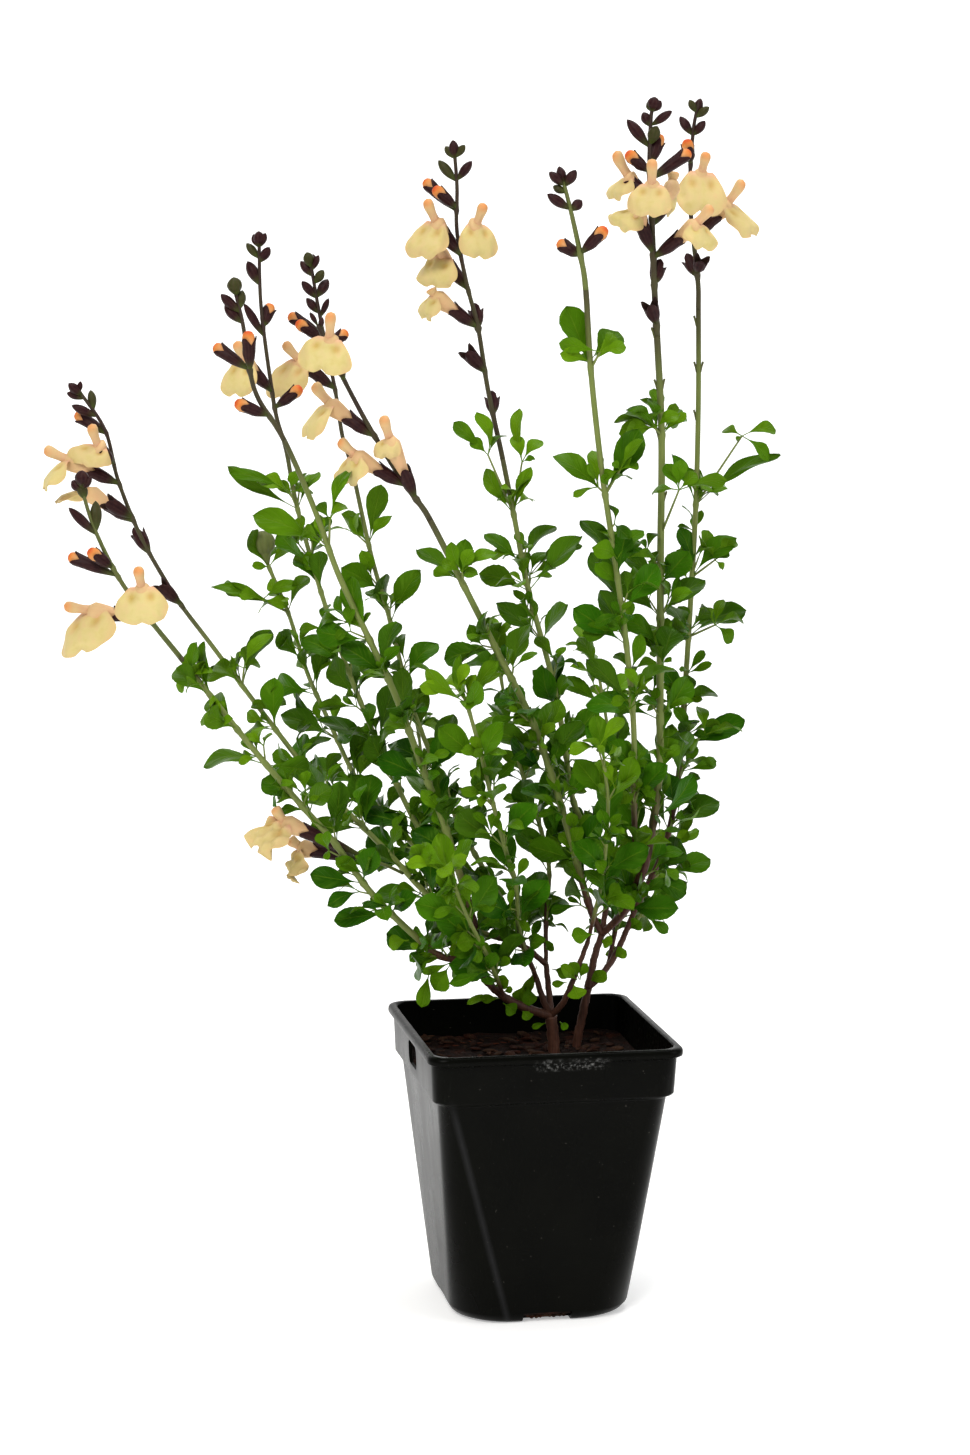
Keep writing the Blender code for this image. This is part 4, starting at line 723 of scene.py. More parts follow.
def pot_profile():
    """Rings of the pot from its underside up the outside, over the rim and down the inside to its floor."""
    rim_under, rim_half = POT_HIGH - RIM_TALL, POT_WIDE / 2
    rings = [(0.0, body_half(0) - EDGE_ROUND * 0.8), (EDGE_ROUND * 0.3, body_half(0) - EDGE_ROUND * 0.3)]
    rings += [(h, body_half(h)) for h in (EDGE_ROUND, *BODY_RINGS, STEP_HIGH - 0.002)]
    rings += [(STEP_HIGH, COLLAR_HALF - 0.001), (rim_under, COLLAR_HALF)]
    rings += [(rim_under + 0.0002, rim_half - 0.0004), (rim_under + 0.0016, rim_half)]
    rings += [(POT_HIGH - 0.001, rim_half - 0.0002), (POT_HIGH, rim_half - 0.0012)]
    return [*rings, (POT_HIGH, COLLAR_HALF - POT_WALL), *inner_profile()]


def inner_profile():
    """Rings of the pot's inside from its step down to its floor."""
    rings = [(STEP_HIGH + 0.0005, COLLAR_HALF - 0.001), (STEP_HIGH - 0.003, body_half(STEP_HIGH))]
    rings += [(h, body_half(h)) for h in (*BODY_RINGS[::-1], POT_FLOOR + 0.002)]
    rings.append((POT_FLOOR, body_half(POT_FLOOR) - 0.002))
    return [(height, half - POT_WALL) for height, half in rings]


def soil_relief(x, y):
    """Unevenness of the soil's top, in metres: the sum of three sine waves that cross at different angles."""
    waves = np.sin(x * 190 + 1) * np.cos(y * 160)
    waves = waves + 0.7 * np.sin(x * 90 + y * 240) + 0.5 * np.cos(x * 330 - y * 120)
    return SOIL_ROUGH * waves / 2.2


def stalk_to(stem, row, tip):
    """Foot on a spike's stalk and the tip of what it carries, both as places in space."""
    route = ROUTES[stem]
    root = route.at(route.on_row(row))
    return root, spot(*tip, root @ INWARD)


def closed_buds(stem):
    """Foot, tip and width of each closed bud, every other one leaning nearer."""
    buds = []
    for k, (row, across_, down, wide) in enumerate(CLOSED.get(stem, ())):
        root, tip = stalk_to(stem, row, (across_, down))
        lean = BUD_LEAN if k % 2 else -BUD_LEAN
        buds.append((root, tip + lean * INWARD, wide * PIXEL))
    return buds


def smooth(low, high, value):
    """0 below low and 1 above high, with an even S between them."""
    share = np.clip((np.asarray(value, float) - low) / (high - low), 0, 1)
    return share * share * (3 - 2 * share)


def circle(sides):
    """Angles evenly round a ring."""
    return np.arange(sides) * 2 * math.pi / sides


def triples(*parts):
    """Three values, each given once, by row or by column, as one grid of triples."""
    return np.stack(np.broadcast_arrays(*parts), -1)


class Skin:
    """Grids of points gathered into one mesh, with a place and three blend weights at each point."""

    def __init__(self):
        self.points, self.quads, self.places, self.tints = [], [], [], []
        self.total = 0

    def add(self, grid, tint, place=None, ring=False, flip=False):
        """Adds rows of points. ring joins the last column to the first and closes both ends on their middles, and
        flip turns the faces round.

        place defaults to how far along the rows and across the columns each point is.
        """
        rows, columns = grid.shape[:2]
        tint = np.broadcast_to(np.asarray(tint, float), (rows, columns, 3))
        if place is None:
            around = np.linspace(0, 1, columns, endpoint=not ring)
            place = triples(np.linspace(0, 1, rows)[:, None], around, 0)
        if ring:
            first, last = (np.ptp(grid[k], axis=0).max() > 1e-6 for k in (0, -1))
            pick = [0] * first + list(range(rows)) + [rows - 1] * last
            middles = grid[0].mean(axis=0), grid[-1].mean(axis=0)
            grid, place, tint, rows = grid[pick], place[pick], tint[pick], len(pick)
            if first:
                grid[0] = middles[0]
            if last:
                grid[-1] = middles[1]
        index = np.arange(rows * columns).reshape(rows, columns) + self.total
        if ring:
            index = np.column_stack([index, index[:, 0]])
        quads = np.stack([index[:-1, :-1], index[:-1, 1:], index[1:, 1:], index[1:, :-1]], -1).reshape(-1, 4)
        self.quads.append(quads[:, ::-1] if flip else quads)
        self.points.append(grid.reshape(-1, 3))
        self.places.append(np.asarray(place, float).reshape(-1, 3))
        self.tints.append(tint.reshape(-1, 3))
        self.total += rows * columns

    def build(self, name, finish):
        """Makes the object, smooth and with its attributes."""
        points, quads = np.vstack(self.points), np.vstack(self.quads)
        mesh = bpy.data.meshes.new(name)
        mesh.vertices.add(len(points))
        mesh.vertices.foreach_set("co", points.astype(np.float32).ravel())
        mesh.loops.add(quads.size)
        mesh.loops.foreach_set("vertex_index", quads.astype(np.int32).ravel())
        mesh.polygons.add(len(quads))
        mesh.polygons.foreach_set("loop_start", np.arange(0, quads.size, 4, dtype=np.int32))
        mesh.polygons.foreach_set("use_smooth", np.ones(len(quads), bool))
        for label, values in (("place", self.places), ("tint", self.tints)):
            layer = mesh.attributes.new(label, "FLOAT_VECTOR", "POINT")
            layer.data.foreach_set("vector", np.vstack(values).astype(np.float32).ravel())
        mesh.update()
        mesh.validate()
        mesh.materials.append(finish)
        return linked(name, mesh)


def hand_over(piece, slot, *nodes):
    """Lets a finished piece ride on the root and stand for nodes, whose parts it hides. The slot is not used."""
    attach(piece, "root")
    if nodes:
        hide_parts(*nodes)


def linked(name, data):
    """A new object in the scene that shows some data."""
    made = bpy.data.objects.new(name, data)
    bpy.context.scene.collection.objects.link(made)
    return made


def ring_axes(points):
    """Two unit vectors square to a line of points at each of them, turning as little as they can."""
    ahead = np.gradient(points, axis=0)
    ahead /= norm(ahead, axis=1)[:, None]
    side = np.empty_like(ahead)
    last = np.cross(ahead[0], INWARD)
    for k, heading in enumerate(ahead):
        last = unit(last - (last @ heading) * heading)
        side[k] = last
    return side, np.cross(ahead, side)


def tube_grid(points, radii, sides, square=0.0):
    """Rings round a line: at each angle the radius, more by square times the cosine of four times the angle, which
    pushes four corners out, as on a sage's stem.
    """
    side, front = ring_axes(points)
    angle = circle(sides)
    reach = np.asarray(radii)[:, None] * (1 + square * np.cos(4 * angle))
    aside, forward = reach * np.cos(angle), reach * np.sin(angle)
    return points[:, None] + aside[..., None] * side[:, None] + forward[..., None] * front[:, None]


def turned(foot, axis, up, along, high, wide, sides):
    """Ellipses round an axis from foot: at each distance along it, the cosine of the angle times high goes up and
    its sine times wide goes sideways.
    """
    axis = unit(axis)
    up = unit(up - (up @ axis) * axis)
    side = np.cross(axis, up)
    angle, grid = circle(sides), (len(along), sides)
    along, high, wide = (
        np.broadcast_to(np.asarray(v, float).reshape(len(along), -1), grid) for v in (along, high, wide)
    )
    out = (high * np.cos(angle))[..., None] * up + (wide * np.sin(angle))[..., None] * side
    return foot + along[..., None] * axis + out


class Socket:
    """A value in a material's node tree. Arithmetic on it adds Math nodes, and node() adds any other."""

    def __init__(self, tree, socket=None):
        self.tree, self.socket = tree, socket

    def node(self, kind, inputs=(), output=0, **settings):
        made = self.tree.nodes.new(kind)
        for key, value in settings.items():
            setattr(made, key, value)
        for key, value in dict(inputs).items():
            if isinstance(value, Socket):
                self.tree.links.new(value.socket, made.inputs[key])
            else:
                made.inputs[key].default_value = value
        return Socket(self.tree, made.outputs[output])

    def maths(self, operation, *others):
        return self.node("ShaderNodeMath", enumerate((self, *others)), operation=operation)

    __add__ = functools.partialmethod(maths, "ADD")
    __sub__ = functools.partialmethod(maths, "SUBTRACT")
    __mul__ = functools.partialmethod(maths, "MULTIPLY")
    __truediv__ = functools.partialmethod(maths, "DIVIDE")
    size = functools.partialmethod(maths, "ABSOLUTE")

    def ramp(self, low, high):
        """0 below low and 1 above high, even between them. low may be the greater."""
        return ((self - low) / (high - low)).maths("MINIMUM", 1.0).maths("MAXIMUM", 0.0)

    def near(self, middle, outer, inner):
        """1 up to inner away from a middle value and 0 beyond outer."""
        return (self - middle).size().ramp(outer, inner)

    def parts(self):
        """The three parts of a vector."""
        return [self.node("ShaderNodeSeparateXYZ", {0: self}, k) for k in range(3)]

    def blend(self, low, high):
        """Mixes two colours by this value."""
        low, high = (c if isinstance(c, Socket) else (*c, 1.0) for c in (low, high))
        inputs = {0: self, 6: low, 7: high}
        return self.node("ShaderNodeMix", inputs, 2, data_type="RGBA", clamp_factor=True)


class Finish(Socket):
    """A material with a Principled shader, whose constant values go on the shader's own sockets."""

    def __init__(self, name, **constants):
        self.material = bpy.data.materials.get(name) or bpy.data.materials.new(name)
        self.material.use_nodes = True
        super().__init__(self.material.node_tree)
        self.tree.nodes.clear()
        self.shader = self.tree.nodes.new("ShaderNodeBsdfPrincipled")
        sheet = self.tree.nodes.new("ShaderNodeOutputMaterial")
        self.tree.links.new(self.shader.outputs[0], sheet.inputs[0])
        for key, value in constants.items():
            self.shader.inputs[key.replace("_", " ")].default_value = value
        self.object_place = self.node("ShaderNodeTexCoord", output=3)

    def attribute(self, label):
        """The three parts of a vector attribute."""
        return self.node("ShaderNodeAttribute", output=1, attribute_name=label).parts()

    def noise(self, scale, detail=3.0, rough=0.55, vector=None):
        inputs = {"Vector": vector or self.object_place, "Scale": scale, "Detail": detail, "Roughness": rough}
        return self.node("ShaderNodeTexNoise", inputs)

    def streaks(self, scale, detail=4.0, rough=0.6):
        """Noise with a scale of its own along each axis."""
        inputs = {"Vector": self.object_place, "Scale": scale}
        return self.noise(1.0, detail, rough, self.node("ShaderNodeMapping", inputs))

    def finish(self, colour, rough, height=None, strength=0.0, distance=0.0):
        """Joins the colour, the roughness and the height of the bumps to the shader."""
        sockets = {"Base Color": colour, "Roughness": rough}
        if height is not None:
            inputs = {"Height": height, "Strength": strength, "Distance": distance}
            sockets["Normal"] = self.node("ShaderNodeBump", inputs)
        for key, value in sockets.items():
            if isinstance(value, Socket):
                self.tree.links.new(value.socket, self.shader.inputs[key])
            else:
                self.shader.inputs[key].default_value = value
        return self.material


# Colours of the finishes that aren't settings, a pair where noise blends the two
LEAF_UNDER = (0.062, 0.130, 0.008)
LEAF_PALE = (0.130, 0.220, 0.012)
LEAF_DRY = (0.420, 0.270, 0.040)
STEM_GREEN = (0.080, 0.120, 0.020), (0.210, 0.245, 0.065)
STEM_BARK = (0.018, 0.006, 0.005), (0.108, 0.043, 0.023)
STEM_DARK = (0.034, 0.019, 0.014)
CALYX_GREEN = (0.045, 0.062, 0.012)
CALYX_RIB = (0.080, 0.038, 0.024)
CALYX_INSIDE = (0.040, 0.028, 0.018)
PETAL_DEEP = (0.430, 0.270, 0.045)
PETAL_PEACH = (0.590, 0.330, 0.200)
PETAL_RED = (0.520, 0.045, 0.008)
COMPOST = (0.002, 0.0009, 0.0006), (0.017, 0.0065, 0.0035)
COMPOST_RED = (0.060, 0.013, 0.005)
COMPOST_LIGHT = (0.055, 0.028, 0.014)
COMPOST_FLECK = (0.200, 0.170, 0.140)
POT_BLACK = (0.0010, 0.0011, 0.0008)
POT_DUST = (0.16, 0.15, 0.13)
POT_LIME = (0.30, 0.30, 0.29)
# Painted highlight: a lighter line along a faint fold on the pot's front
POT_CREASE_HIGHLIGHT = (0.019, 0.019, 0.020)
POT_EARTH = (0.030, 0.014, 0.008)
FLOOR = (0.86, 0.86, 0.855), (0.88, 0.88, 0.875)


def leaf_finish(looks):
    """Green blade: a fine pale midrib and arched side veins, young leaves yellower, the underside greyer."""
    paint = Finish("salvia_leaf", Specular_IOR_Level=0.15, Specular_Tint=(0.60, 1.0, 0.10, 1.0))
    along, across_, under = paint.attribute("place")
    light, young, dry = paint.attribute("tint")
    edge = across_.size()
    mottle = paint.noise(110.0)
    rib = edge.ramp(0.075, 0.02) * along.ramp(1.0, 0.75)
    arch = (along * 8.0 - edge * 2.6).maths("FRACT")
    vein = arch.near(0.5, 0.12, 0.0) * edge.ramp(1.0, 0.6) * along.ramp(0.2, 0.35)
    green = (light * 0.8 + mottle * 0.7 - 0.25).blend(looks.leaf_dark, looks.leaf_light)
    green = young.blend(green, looks.leaf_young)
    green = (under * 0.35).blend(green, LEAF_UNDER)
    green = (rib * 0.25 + vein * 0.08 + along.ramp(0.20, 0.10) * 0.4).blend(green, LEAF_PALE)
    green = (dry * (mottle * 0.5 + 0.7)).blend(green, LEAF_DRY)
    height = vein * -0.7 + rib * -0.9 + paint.noise(700.0, 2.0) * 0.25
    return paint.finish(green, mottle * 0.2 + 0.28, height, 0.6, 0.0003)


def stem_finish():
    """Green stem that turns to purple-brown bark with the first weight and to dark purple with the second."""
    paint = Finish("salvia_stem", Specular_IOR_Level=0.2)
    woody, dark, _ = paint.attribute("tint")
    streak = paint.streaks((900.0, 900.0, 60.0))
    patch = paint.noise(60.0, 3.0)
    green = (patch * 0.8 + streak * 0.4 - 0.1).blend(*STEM_GREEN)
    bark = (streak * 1.3 - 0.2).blend(*STEM_BARK)
    wood = (woody + (streak - 0.5) * 0.5).ramp(0.25, 0.75)
    colour = wood.blend(green, bark)
    colour = (dark + (patch - 0.5) * 0.5).blend(colour, STEM_DARK)
    return paint.finish(colour, streak * 0.2 + 0.45, streak, 0.5, 0.0003)


def calyx_finish(looks):
    """Near-black maroon cup, green at its foot (first weight), with fine ribs (second) and a paler inside."""
    paint = Finish("salvia_calyx", Specular_IOR_Level=0.10)
    green, rib, inner = paint.attribute("tint")
    patch = paint.noise(420.0, 3.0)
    maroon = (patch * 1.2 - 0.2).blend(looks.calyx_dark, looks.calyx_light)
    colour = (green * 1.1 + (patch - 0.5) * 0.3).blend(maroon, CALYX_GREEN)
    colour = (rib * 0.15).blend(colour, CALYX_RIB)
    colour = (inner * 0.4).blend(colour, CALYX_INSIDE)
    return paint.finish(colour, patch * 0.2 + 0.36, rib * 0.6 + patch * 0.5, 0.5, 0.0003)


def petal_finish(looks):
    """Cream petal: peach with the first weight, orange with the second, deeper yellow with the third."""
    paint = Finish("salvia_petal", Specular_IOR_Level=0.15)
    peach, orange, deep = paint.attribute("tint")
    along, across_, red = paint.attribute("place")
    blot = paint.noise(230.0, 3.0)
    fine = paint.noise(1500.0, 2.0)
    ray = (across_ * 34.0 + blot * 5.0).maths("SINE").ramp(0.2, 1.0) * along.ramp(0.75, 0.2)
    cream = (blot * 1.3 - 0.2).blend(looks.petal_warm, looks.petal_light)
    colour = (deep + (blot - 0.5) * 0.2).blend(cream, PETAL_DEEP)
    colour = (peach + (blot - 0.5) * 0.35 + ray * 0.10).blend(colour, PETAL_PEACH)
    colour = (orange + (blot - 0.5) * 0.4).blend(colour, looks.petal_tip)
    colour = red.blend(colour, PETAL_RED)
    return paint.finish(colour, 0.5, blot + fine * 0.4 - ray * 0.25, 0.5, 0.0005)


def soil_finish():
    """Dark bark compost: a lighter tone with the first weight, reddish with the second, and pale flecks."""
    paint = Finish("loose_compost", Specular_IOR_Level=0.1)
    light, red, _ = paint.attribute("tint")
    grain = paint.noise(420.0, 6.0, 0.7)
    clump = paint.noise(70.0, 4.0)
    fibre = paint.streaks((220.0, 900.0, 300.0))
    dark = (grain * 1.5 - 0.35).blend(*COMPOST)
    colour = (clump.ramp(0.52, 0.7) * 0.5 + red).blend(dark, COMPOST_RED)
    colour = (light * (fibre * 1.2 + 0.2)).blend(colour, COMPOST_LIGHT)
    colour = paint.noise(900.0, 1.0).ramp(0.76, 0.82).blend(colour, COMPOST_FLECK)
    return paint.finish(colour, 0.85, grain + fibre * 0.5, 0.9, 0.0015)


def pot_finish(looks):
    """Black moulded plastic: scuffs, dust, earth inside, and in front lime and a painted highlight on one faint
    fold.
    """
    paint = Finish("black_pot_plastic", Specular_IOR_Level=0.035)
    inside = paint.attribute("tint")[1]
    x, y, z = paint.object_place.parts()
    front = y.ramp(-0.040, -0.043) * inside.ramp(0.6, 0.4)
    cloud = paint.noise(28.0, 4.0)
    speck = paint.noise(520.0, 1.0).ramp(0.765, 0.80)
    scuff = paint.streaks((90.0, 90.0, 14.0), 3.0, 0.5)
    colour = (cloud * 1.4 - 0.3).blend(POT_BLACK, looks.pot_colour)
    colour = (speck * 0.15).blend(colour, POT_DUST)
    top = COLLAR_MIDDLE + RECESS_SIZE[1] / 2
    band = x.near(0.007, 0.021, 0.013) * z.near(top, 0.0040, 0.0005)
    crust = paint.noise(420.0, 6.0, 0.75).ramp(0.50, 0.68) * band * front
    colour = (crust * 0.7).blend(colour, POT_LIME)
    # Painted highlight along a faint fold on the front, lighter than the plastic round it; the same mask also
    # bumps it a little
    (x1, _, z1), (x2, _, z2) = (wall_spot(*end) for end in CREASE_HIGHLIGHT_ENDS)
    far = math.hypot(x2 - x1, z2 - z1)
    aside, down = (z2 - z1) / far, (x2 - x1) / far
    offset = (x * aside - z * down + (z1 * (x2 - x1) - x1 * (z2 - z1)) / far).size()
    crease_and_highlight = offset.ramp(0.0024, 0.0) * z.ramp(z1 + 0.004, z1 - 0.01) * front * (cloud * 0.8 + 0.2)
    colour = crease_and_highlight.blend(colour, POT_CREASE_HIGHLIGHT)
    trail = paint.streaks((130.0, 130.0, 16.0)).ramp(0.50, 0.72)
    colour = (trail * inside * 0.8).blend(colour, POT_EARTH)
    bare = x.near(RECESS_ASIDE, 0.0206, 0.0203) * z.near(COLLAR_MIDDLE, 0.0083, 0.0080)
    rough = cloud * 0.12 + scuff * 0.10 + 0.17 + crust * 0.5 + inside * 0.25 + speck * 0.3 - bare * front * 0.10
    return paint.finish(colour, rough, scuff * 0.5 + cloud + crust * 2.0 + crease_and_highlight * 0.8, 0.15, 0.0006)


COLLAR_MIDDLE = POT_HIGH - RIM_TALL - COLLAR_TALL * 0.45  # height of the slot and the recess
RECESS_ASIDE = 0.004  # how far to the right of the pot's middle the recess is
# Ends of the painted highlight on the pot's front
CREASE_HIGHLIGHT_ENDS = ((452, 1105), (505, 1310))  # pixels


def wall_spot(across_, down):
    """The place on the pot's front wall seen at a pixel."""
    place, depth = np.zeros(3), -0.05
    for _ in range(6):
        place = spot(across_, down, depth)
        depth += 0.8 * (-body_half(place[2]) - place[1])
    return place


def floor_finish():
    """Pale floor with a faint grain, which glows a little so that it shows nearly white."""
    paint = Finish("pale_floor", Specular_IOR_Level=0.1, Emission_Color=(1, 1, 1, 1), Emission_Strength=0.36)
    return paint.finish((paint.noise(60.0, 3.0) * 0.6).blend(*FLOOR), 0.7)


# Fine leaves
TOOTH = 0.055  # how far teeth stand out, as a share of the half width
TEETH = 320  # in a metre
TWIST = 0.4  # most turn of a leaf's tip, in radians, for leaves up to the next length
TWIST_LONG = 0.018
RIPPLE = 0.034  # height of the waves along the edges, as a share of the length


def crinkled(leaf, rows, columns):
    """Middle surface of a fine leaf.

    The plain blade's half width, times a sine wave for the teeth, narrowed to a wedge at its foot, widened and
    then rounded off at its tip. Each row is turned about the middle line, more towards the tip, and lifted by a
    sine wave along the blade that is highest at the edges.
    """
    t = np.linspace(0, 1, rows) ** 0.85
    s = np.linspace(-1, 1, columns)
    grid, middle = leaf_points(leaf, t, s), leaf_points(leaf, t, (0,))
    nicks = max(5, leaf.long * TEETH)
    tooth = 1 + TOOTH * np.abs(np.sin(math.pi * nicks * t)) * smooth(0.3, 0.5, t)
    end = np.sqrt(np.clip(1 - t**18, 0, 1))
    wedge = 0.45 + 0.55 * smooth(0.1, 0.62, t)
    blunt = np.clip((1 - t) / 0.4, 0.02, 1) ** -0.13
    offset = (grid - middle) * (tooth * end * wedge * blunt)[:, None, None]
    most = TWIST * min(1, TWIST_LONG / leaf.long)
    twist = (most * math.sin(3000 * leaf.long) * smooth(0.2, 1, t))[:, None, None]
    grid = middle + np.cos(twist) * offset + np.sin(twist) * np.cross(leaf.along, offset)
    turn = 7 * math.sin(1000 * leaf.long)
    wave = np.sin(9 * t[:, None] - 3 * np.abs(s) + turn + 2 * (s > 0))
    ripple = wave * np.abs(s) * smooth(0.25, 0.5, t)[:, None]
    return t, s, grid + (RIPPLE * leaf.long * ripple)[..., None] * leaf.face


def add_leaf(skin, leaf, rows, columns, tint, curl):
    """Both faces of a leaf, which meet at its edge, thicker at its stalk. curl bends its tip back.

    The thickness across is half an ellipse.
    """
    t, s, grid = crinkled(leaf, rows, columns)
    grid = grid - (leaf.long * curl * smooth(0.3, 1.1, t) ** 2)[:, None, None] * (leaf.face + 0.5 * leaf.along)
    thick = LEAF_THICK * (0.30 + 0.75 * (1 - smooth(0.1, 0.3, t)))[:, None] * (1 - s**2)[None] ** 0.5
    for under in (0, 1):
        lift = thick * (0.5 - under)
        skin.add(grid + lift[..., None] * leaf.face, tint, triples(t[:, None], s, under), flip=bool(under))


def shown(leaf):
    """The same leaf, turned about its middle line as far as it takes not to be seen edge-on."""
    front = unit((INWARD @ leaf.along) * leaf.along - INWARD)
    seen = leaf.face @ front
    face = leaf.face + 1.3 * smooth(0.8, 0.2, abs(seen)) * math.copysign(1, seen) * front
    return leaf._replace(face=unit(face))


def axil_shoot(leaf, rng, most):
    """The line of a short shoot between a leaf and its stem, and the young leaves at its end."""
    heading = ROUTES[leaf.stem].heading(leaf.place)
    lean = 0.30 + 0.45 * rng.random()
    aside = np.cross(leaf.along, heading) * (rng.random() - 0.5)
    rise = unit(lean * leaf.along + (1 - lean) * heading + aside)
    reach = (0.001 if rng.random() < 0.3 else 0.004) + 0.009 * rng.random()
    start = leaf.root - 0.0006 * leaf.along
    line = start + rise * np.array([[0.0], [0.5], [1.0]]) * reach
    side = across(rise, 6 * rng.random())
    other = np.cross(rise, side)
    found = []
    for k in range(2 + rng.integers(0, most)):
        around = math.pi * (k % 2) + math.pi / 2 * (k // 2) + 0.6 * (rng.random() - 0.5)
        spread = 0.45 + 0.75 * rng.random() - 0.2 * (k // 2)
        out = math.cos(around) * side + math.sin(around) * other
        along = unit(math.cos(spread) * rise + math.sin(spread) * out)
        long = (0.009 + 0.014 * rng.random()) * (1 - 0.18 * (k // 2))
        small = shaped_leaf(leaf.stem, leaf.place, along, long, rng.random(8))
        found.append(small._replace(root=line[-1], wide=long * (0.24 + 0.18 * rng.random())))
    return line, found


# Young shoots read off the view: stem, pixel row of the node, hub (pixel and mm nearer), tips of its leaves.
SHOOTS = [
    ("centre_back", 514, (488, 455, 8), [(450, 418), (483, 408), (470, 436), (505, 428)]),
    ("centre_back", 514, (522, 462, -6), [(515, 432), (543, 438), (516, 405), (536, 458)]),
    ("right_tall", 436, (655, 428, 6), [(612, 418), (628, 403), (653, 392), (679, 410), (622, 432)]),
    ("right_tall", 535, (679, 490, 10), [(679, 457), (698, 471), (729, 476), (647, 490), (666, 462)]),
    ("right_back", 505, (742, 436, 0), [(720, 426), (780, 425), (771, 459), (735, 440)]),
    ("bud_stem", 369, (600, 352, 4), [(628, 346), (556, 342), (617, 331)]),
    ("bud_stem", 495, (620, 470, 4), [(642, 436), (613, 461), (640, 462), (600, 478)]),
    ("main", 586, (462, 572, 8), [(448, 541), (440, 560), (472, 548), (498, 545)]),
    ("centre_back", 591, (530, 575, -6), [(544, 548), (582, 535), (560, 560), (520, 548)]),
    ("left_tall", 549, (330, 520, 6), [(346, 458), (318, 500), (345, 500)]),
    ("right_back", 577, (715, 560, 4), [(737, 535), (730, 552), (702, 540), (725, 570)]),
    ("right_back", 637, (715, 625, 6), [(746, 610), (700, 600), (722, 596), (735, 640)]),
    ("right_back", 748, (705, 735, 6), [(745, 720), (700, 702), (725, 728), (690, 752)]),
    ("seed_head", 612, (262, 600, 4), [(214, 584), (240, 590), (300, 580), (290, 604)]),
    ("left_back", 509, (290, 492, 4), [(228, 468), (262, 480), (300, 470), (316, 490)]),
    ("far_left", 686, (244, 668, 4), [(270, 628), (226, 655), (250, 640), (262, 662)]),
    ("left", 697, (192, 676, 4), [(176, 692), (196, 640), (214, 668), (186, 650)]),
]


def shoot_leaves(shoot, number):
    """The stalk of a young shoot as two points, and its leaves."""
    stem, row, (across_, down, near), tips = shoot
    route = ROUTES[stem]
    place = route.on_row(row)
    root = route.at(place)
    depth = root @ INWARD
    hub = spot(across_, down, depth - near / 1000)
    rng = chance(5, number)
    leaves = []
    for tip in tips:
        flat = spot(*tip, hub @ INWARD) - hub
        along = flat + (rng.random() - 0.6) * 0.8 * norm(flat) * INWARD
        leaf = shaped_leaf(stem, place, unit(along), norm(along), rng.random(8))
        wide = min(leaf.long * (0.38 + 0.12 * rng.random()), SHOOT_WIDEST)
        leaves.append(shown(leaf)._replace(root=hub, wide=wide))
    return np.array([root, (root + hub) / 2 + 0.0015 * unit(hub - root), hub]), leaves


def stem_line(stem, start, end, step=0.0025):
    """Places along a stem, close together, with their points and radii."""
    places = np.linspace(start, end, max(4, int((end - start) / step)))
    return places, ROUTES[stem].at(places), thickness(stem, places)


STALK_SQUARE = 0.09  # how far the corners of a stalk stand out, as a share of its radius
TWIG, READ_TWIG = (0.0006, 0.0005, 0.0004), (0.0007, 0.0006, 0.0005)  # radii of the stalks of short shoots
SHOOT_WIDEST = 0.0064
# Share of a stem's length that is woody at least a little, where it isn't as short as on the others
WOODY = {
    "right_tall": 0.55, "right_back": 0.62, "centre_rear": 0.5, "right_rear": 0.5, "bud_stem": 0.35,
    "centre_back": 0.4,
}
WOODY_PLAIN = 0.30


def swollen(radii, places, middle, more, reach):
    """Radii with a smooth bulge, the bell curve of the distance from its middle."""
    return radii * (1 + more * np.exp(-(((places - middle) / reach) ** 2)))


def add_stalk(skin, stem, end, nodes):
    """The stalk of a stem, square, a little swollen at its nodes, woody at its foot and dark near its spike."""
    places, points, radii = stem_line(stem, COLLAR, end)
    for node in nodes:
        radii = swollen(radii, places, node, 0.28, 0.0014)
    rise = places / end
    woody = 1 - smooth(0.0, WOODY.get(stem, WOODY_PLAIN), rise)
    dark = 0.85 * smooth(0.86, 1.02, rise) * (stem in SPIKE_FROM)
    skin.add(tube_grid(points, radii, 12, STALK_SQUARE), triples(woody, dark, rise)[:, None], ring=True)


def low_anchors(stem, top, rng):
    """Leaves that aren't built themselves, where short shoots stand between the pairs low on a stem."""
    place, found = COLLAR + 0.006, []
    while place < 0.7 * top:
        heading = ROUTES[stem].heading(place)
        along = unit(across(heading, 2 * math.pi * rng.random()) + 0.5 * heading)
        found.append(shaped_leaf(stem, place, along, 0.01, rng.random(8)))
        place += 0.010 + 0.014 * rng.random() + 0.02 * place / top
    return found


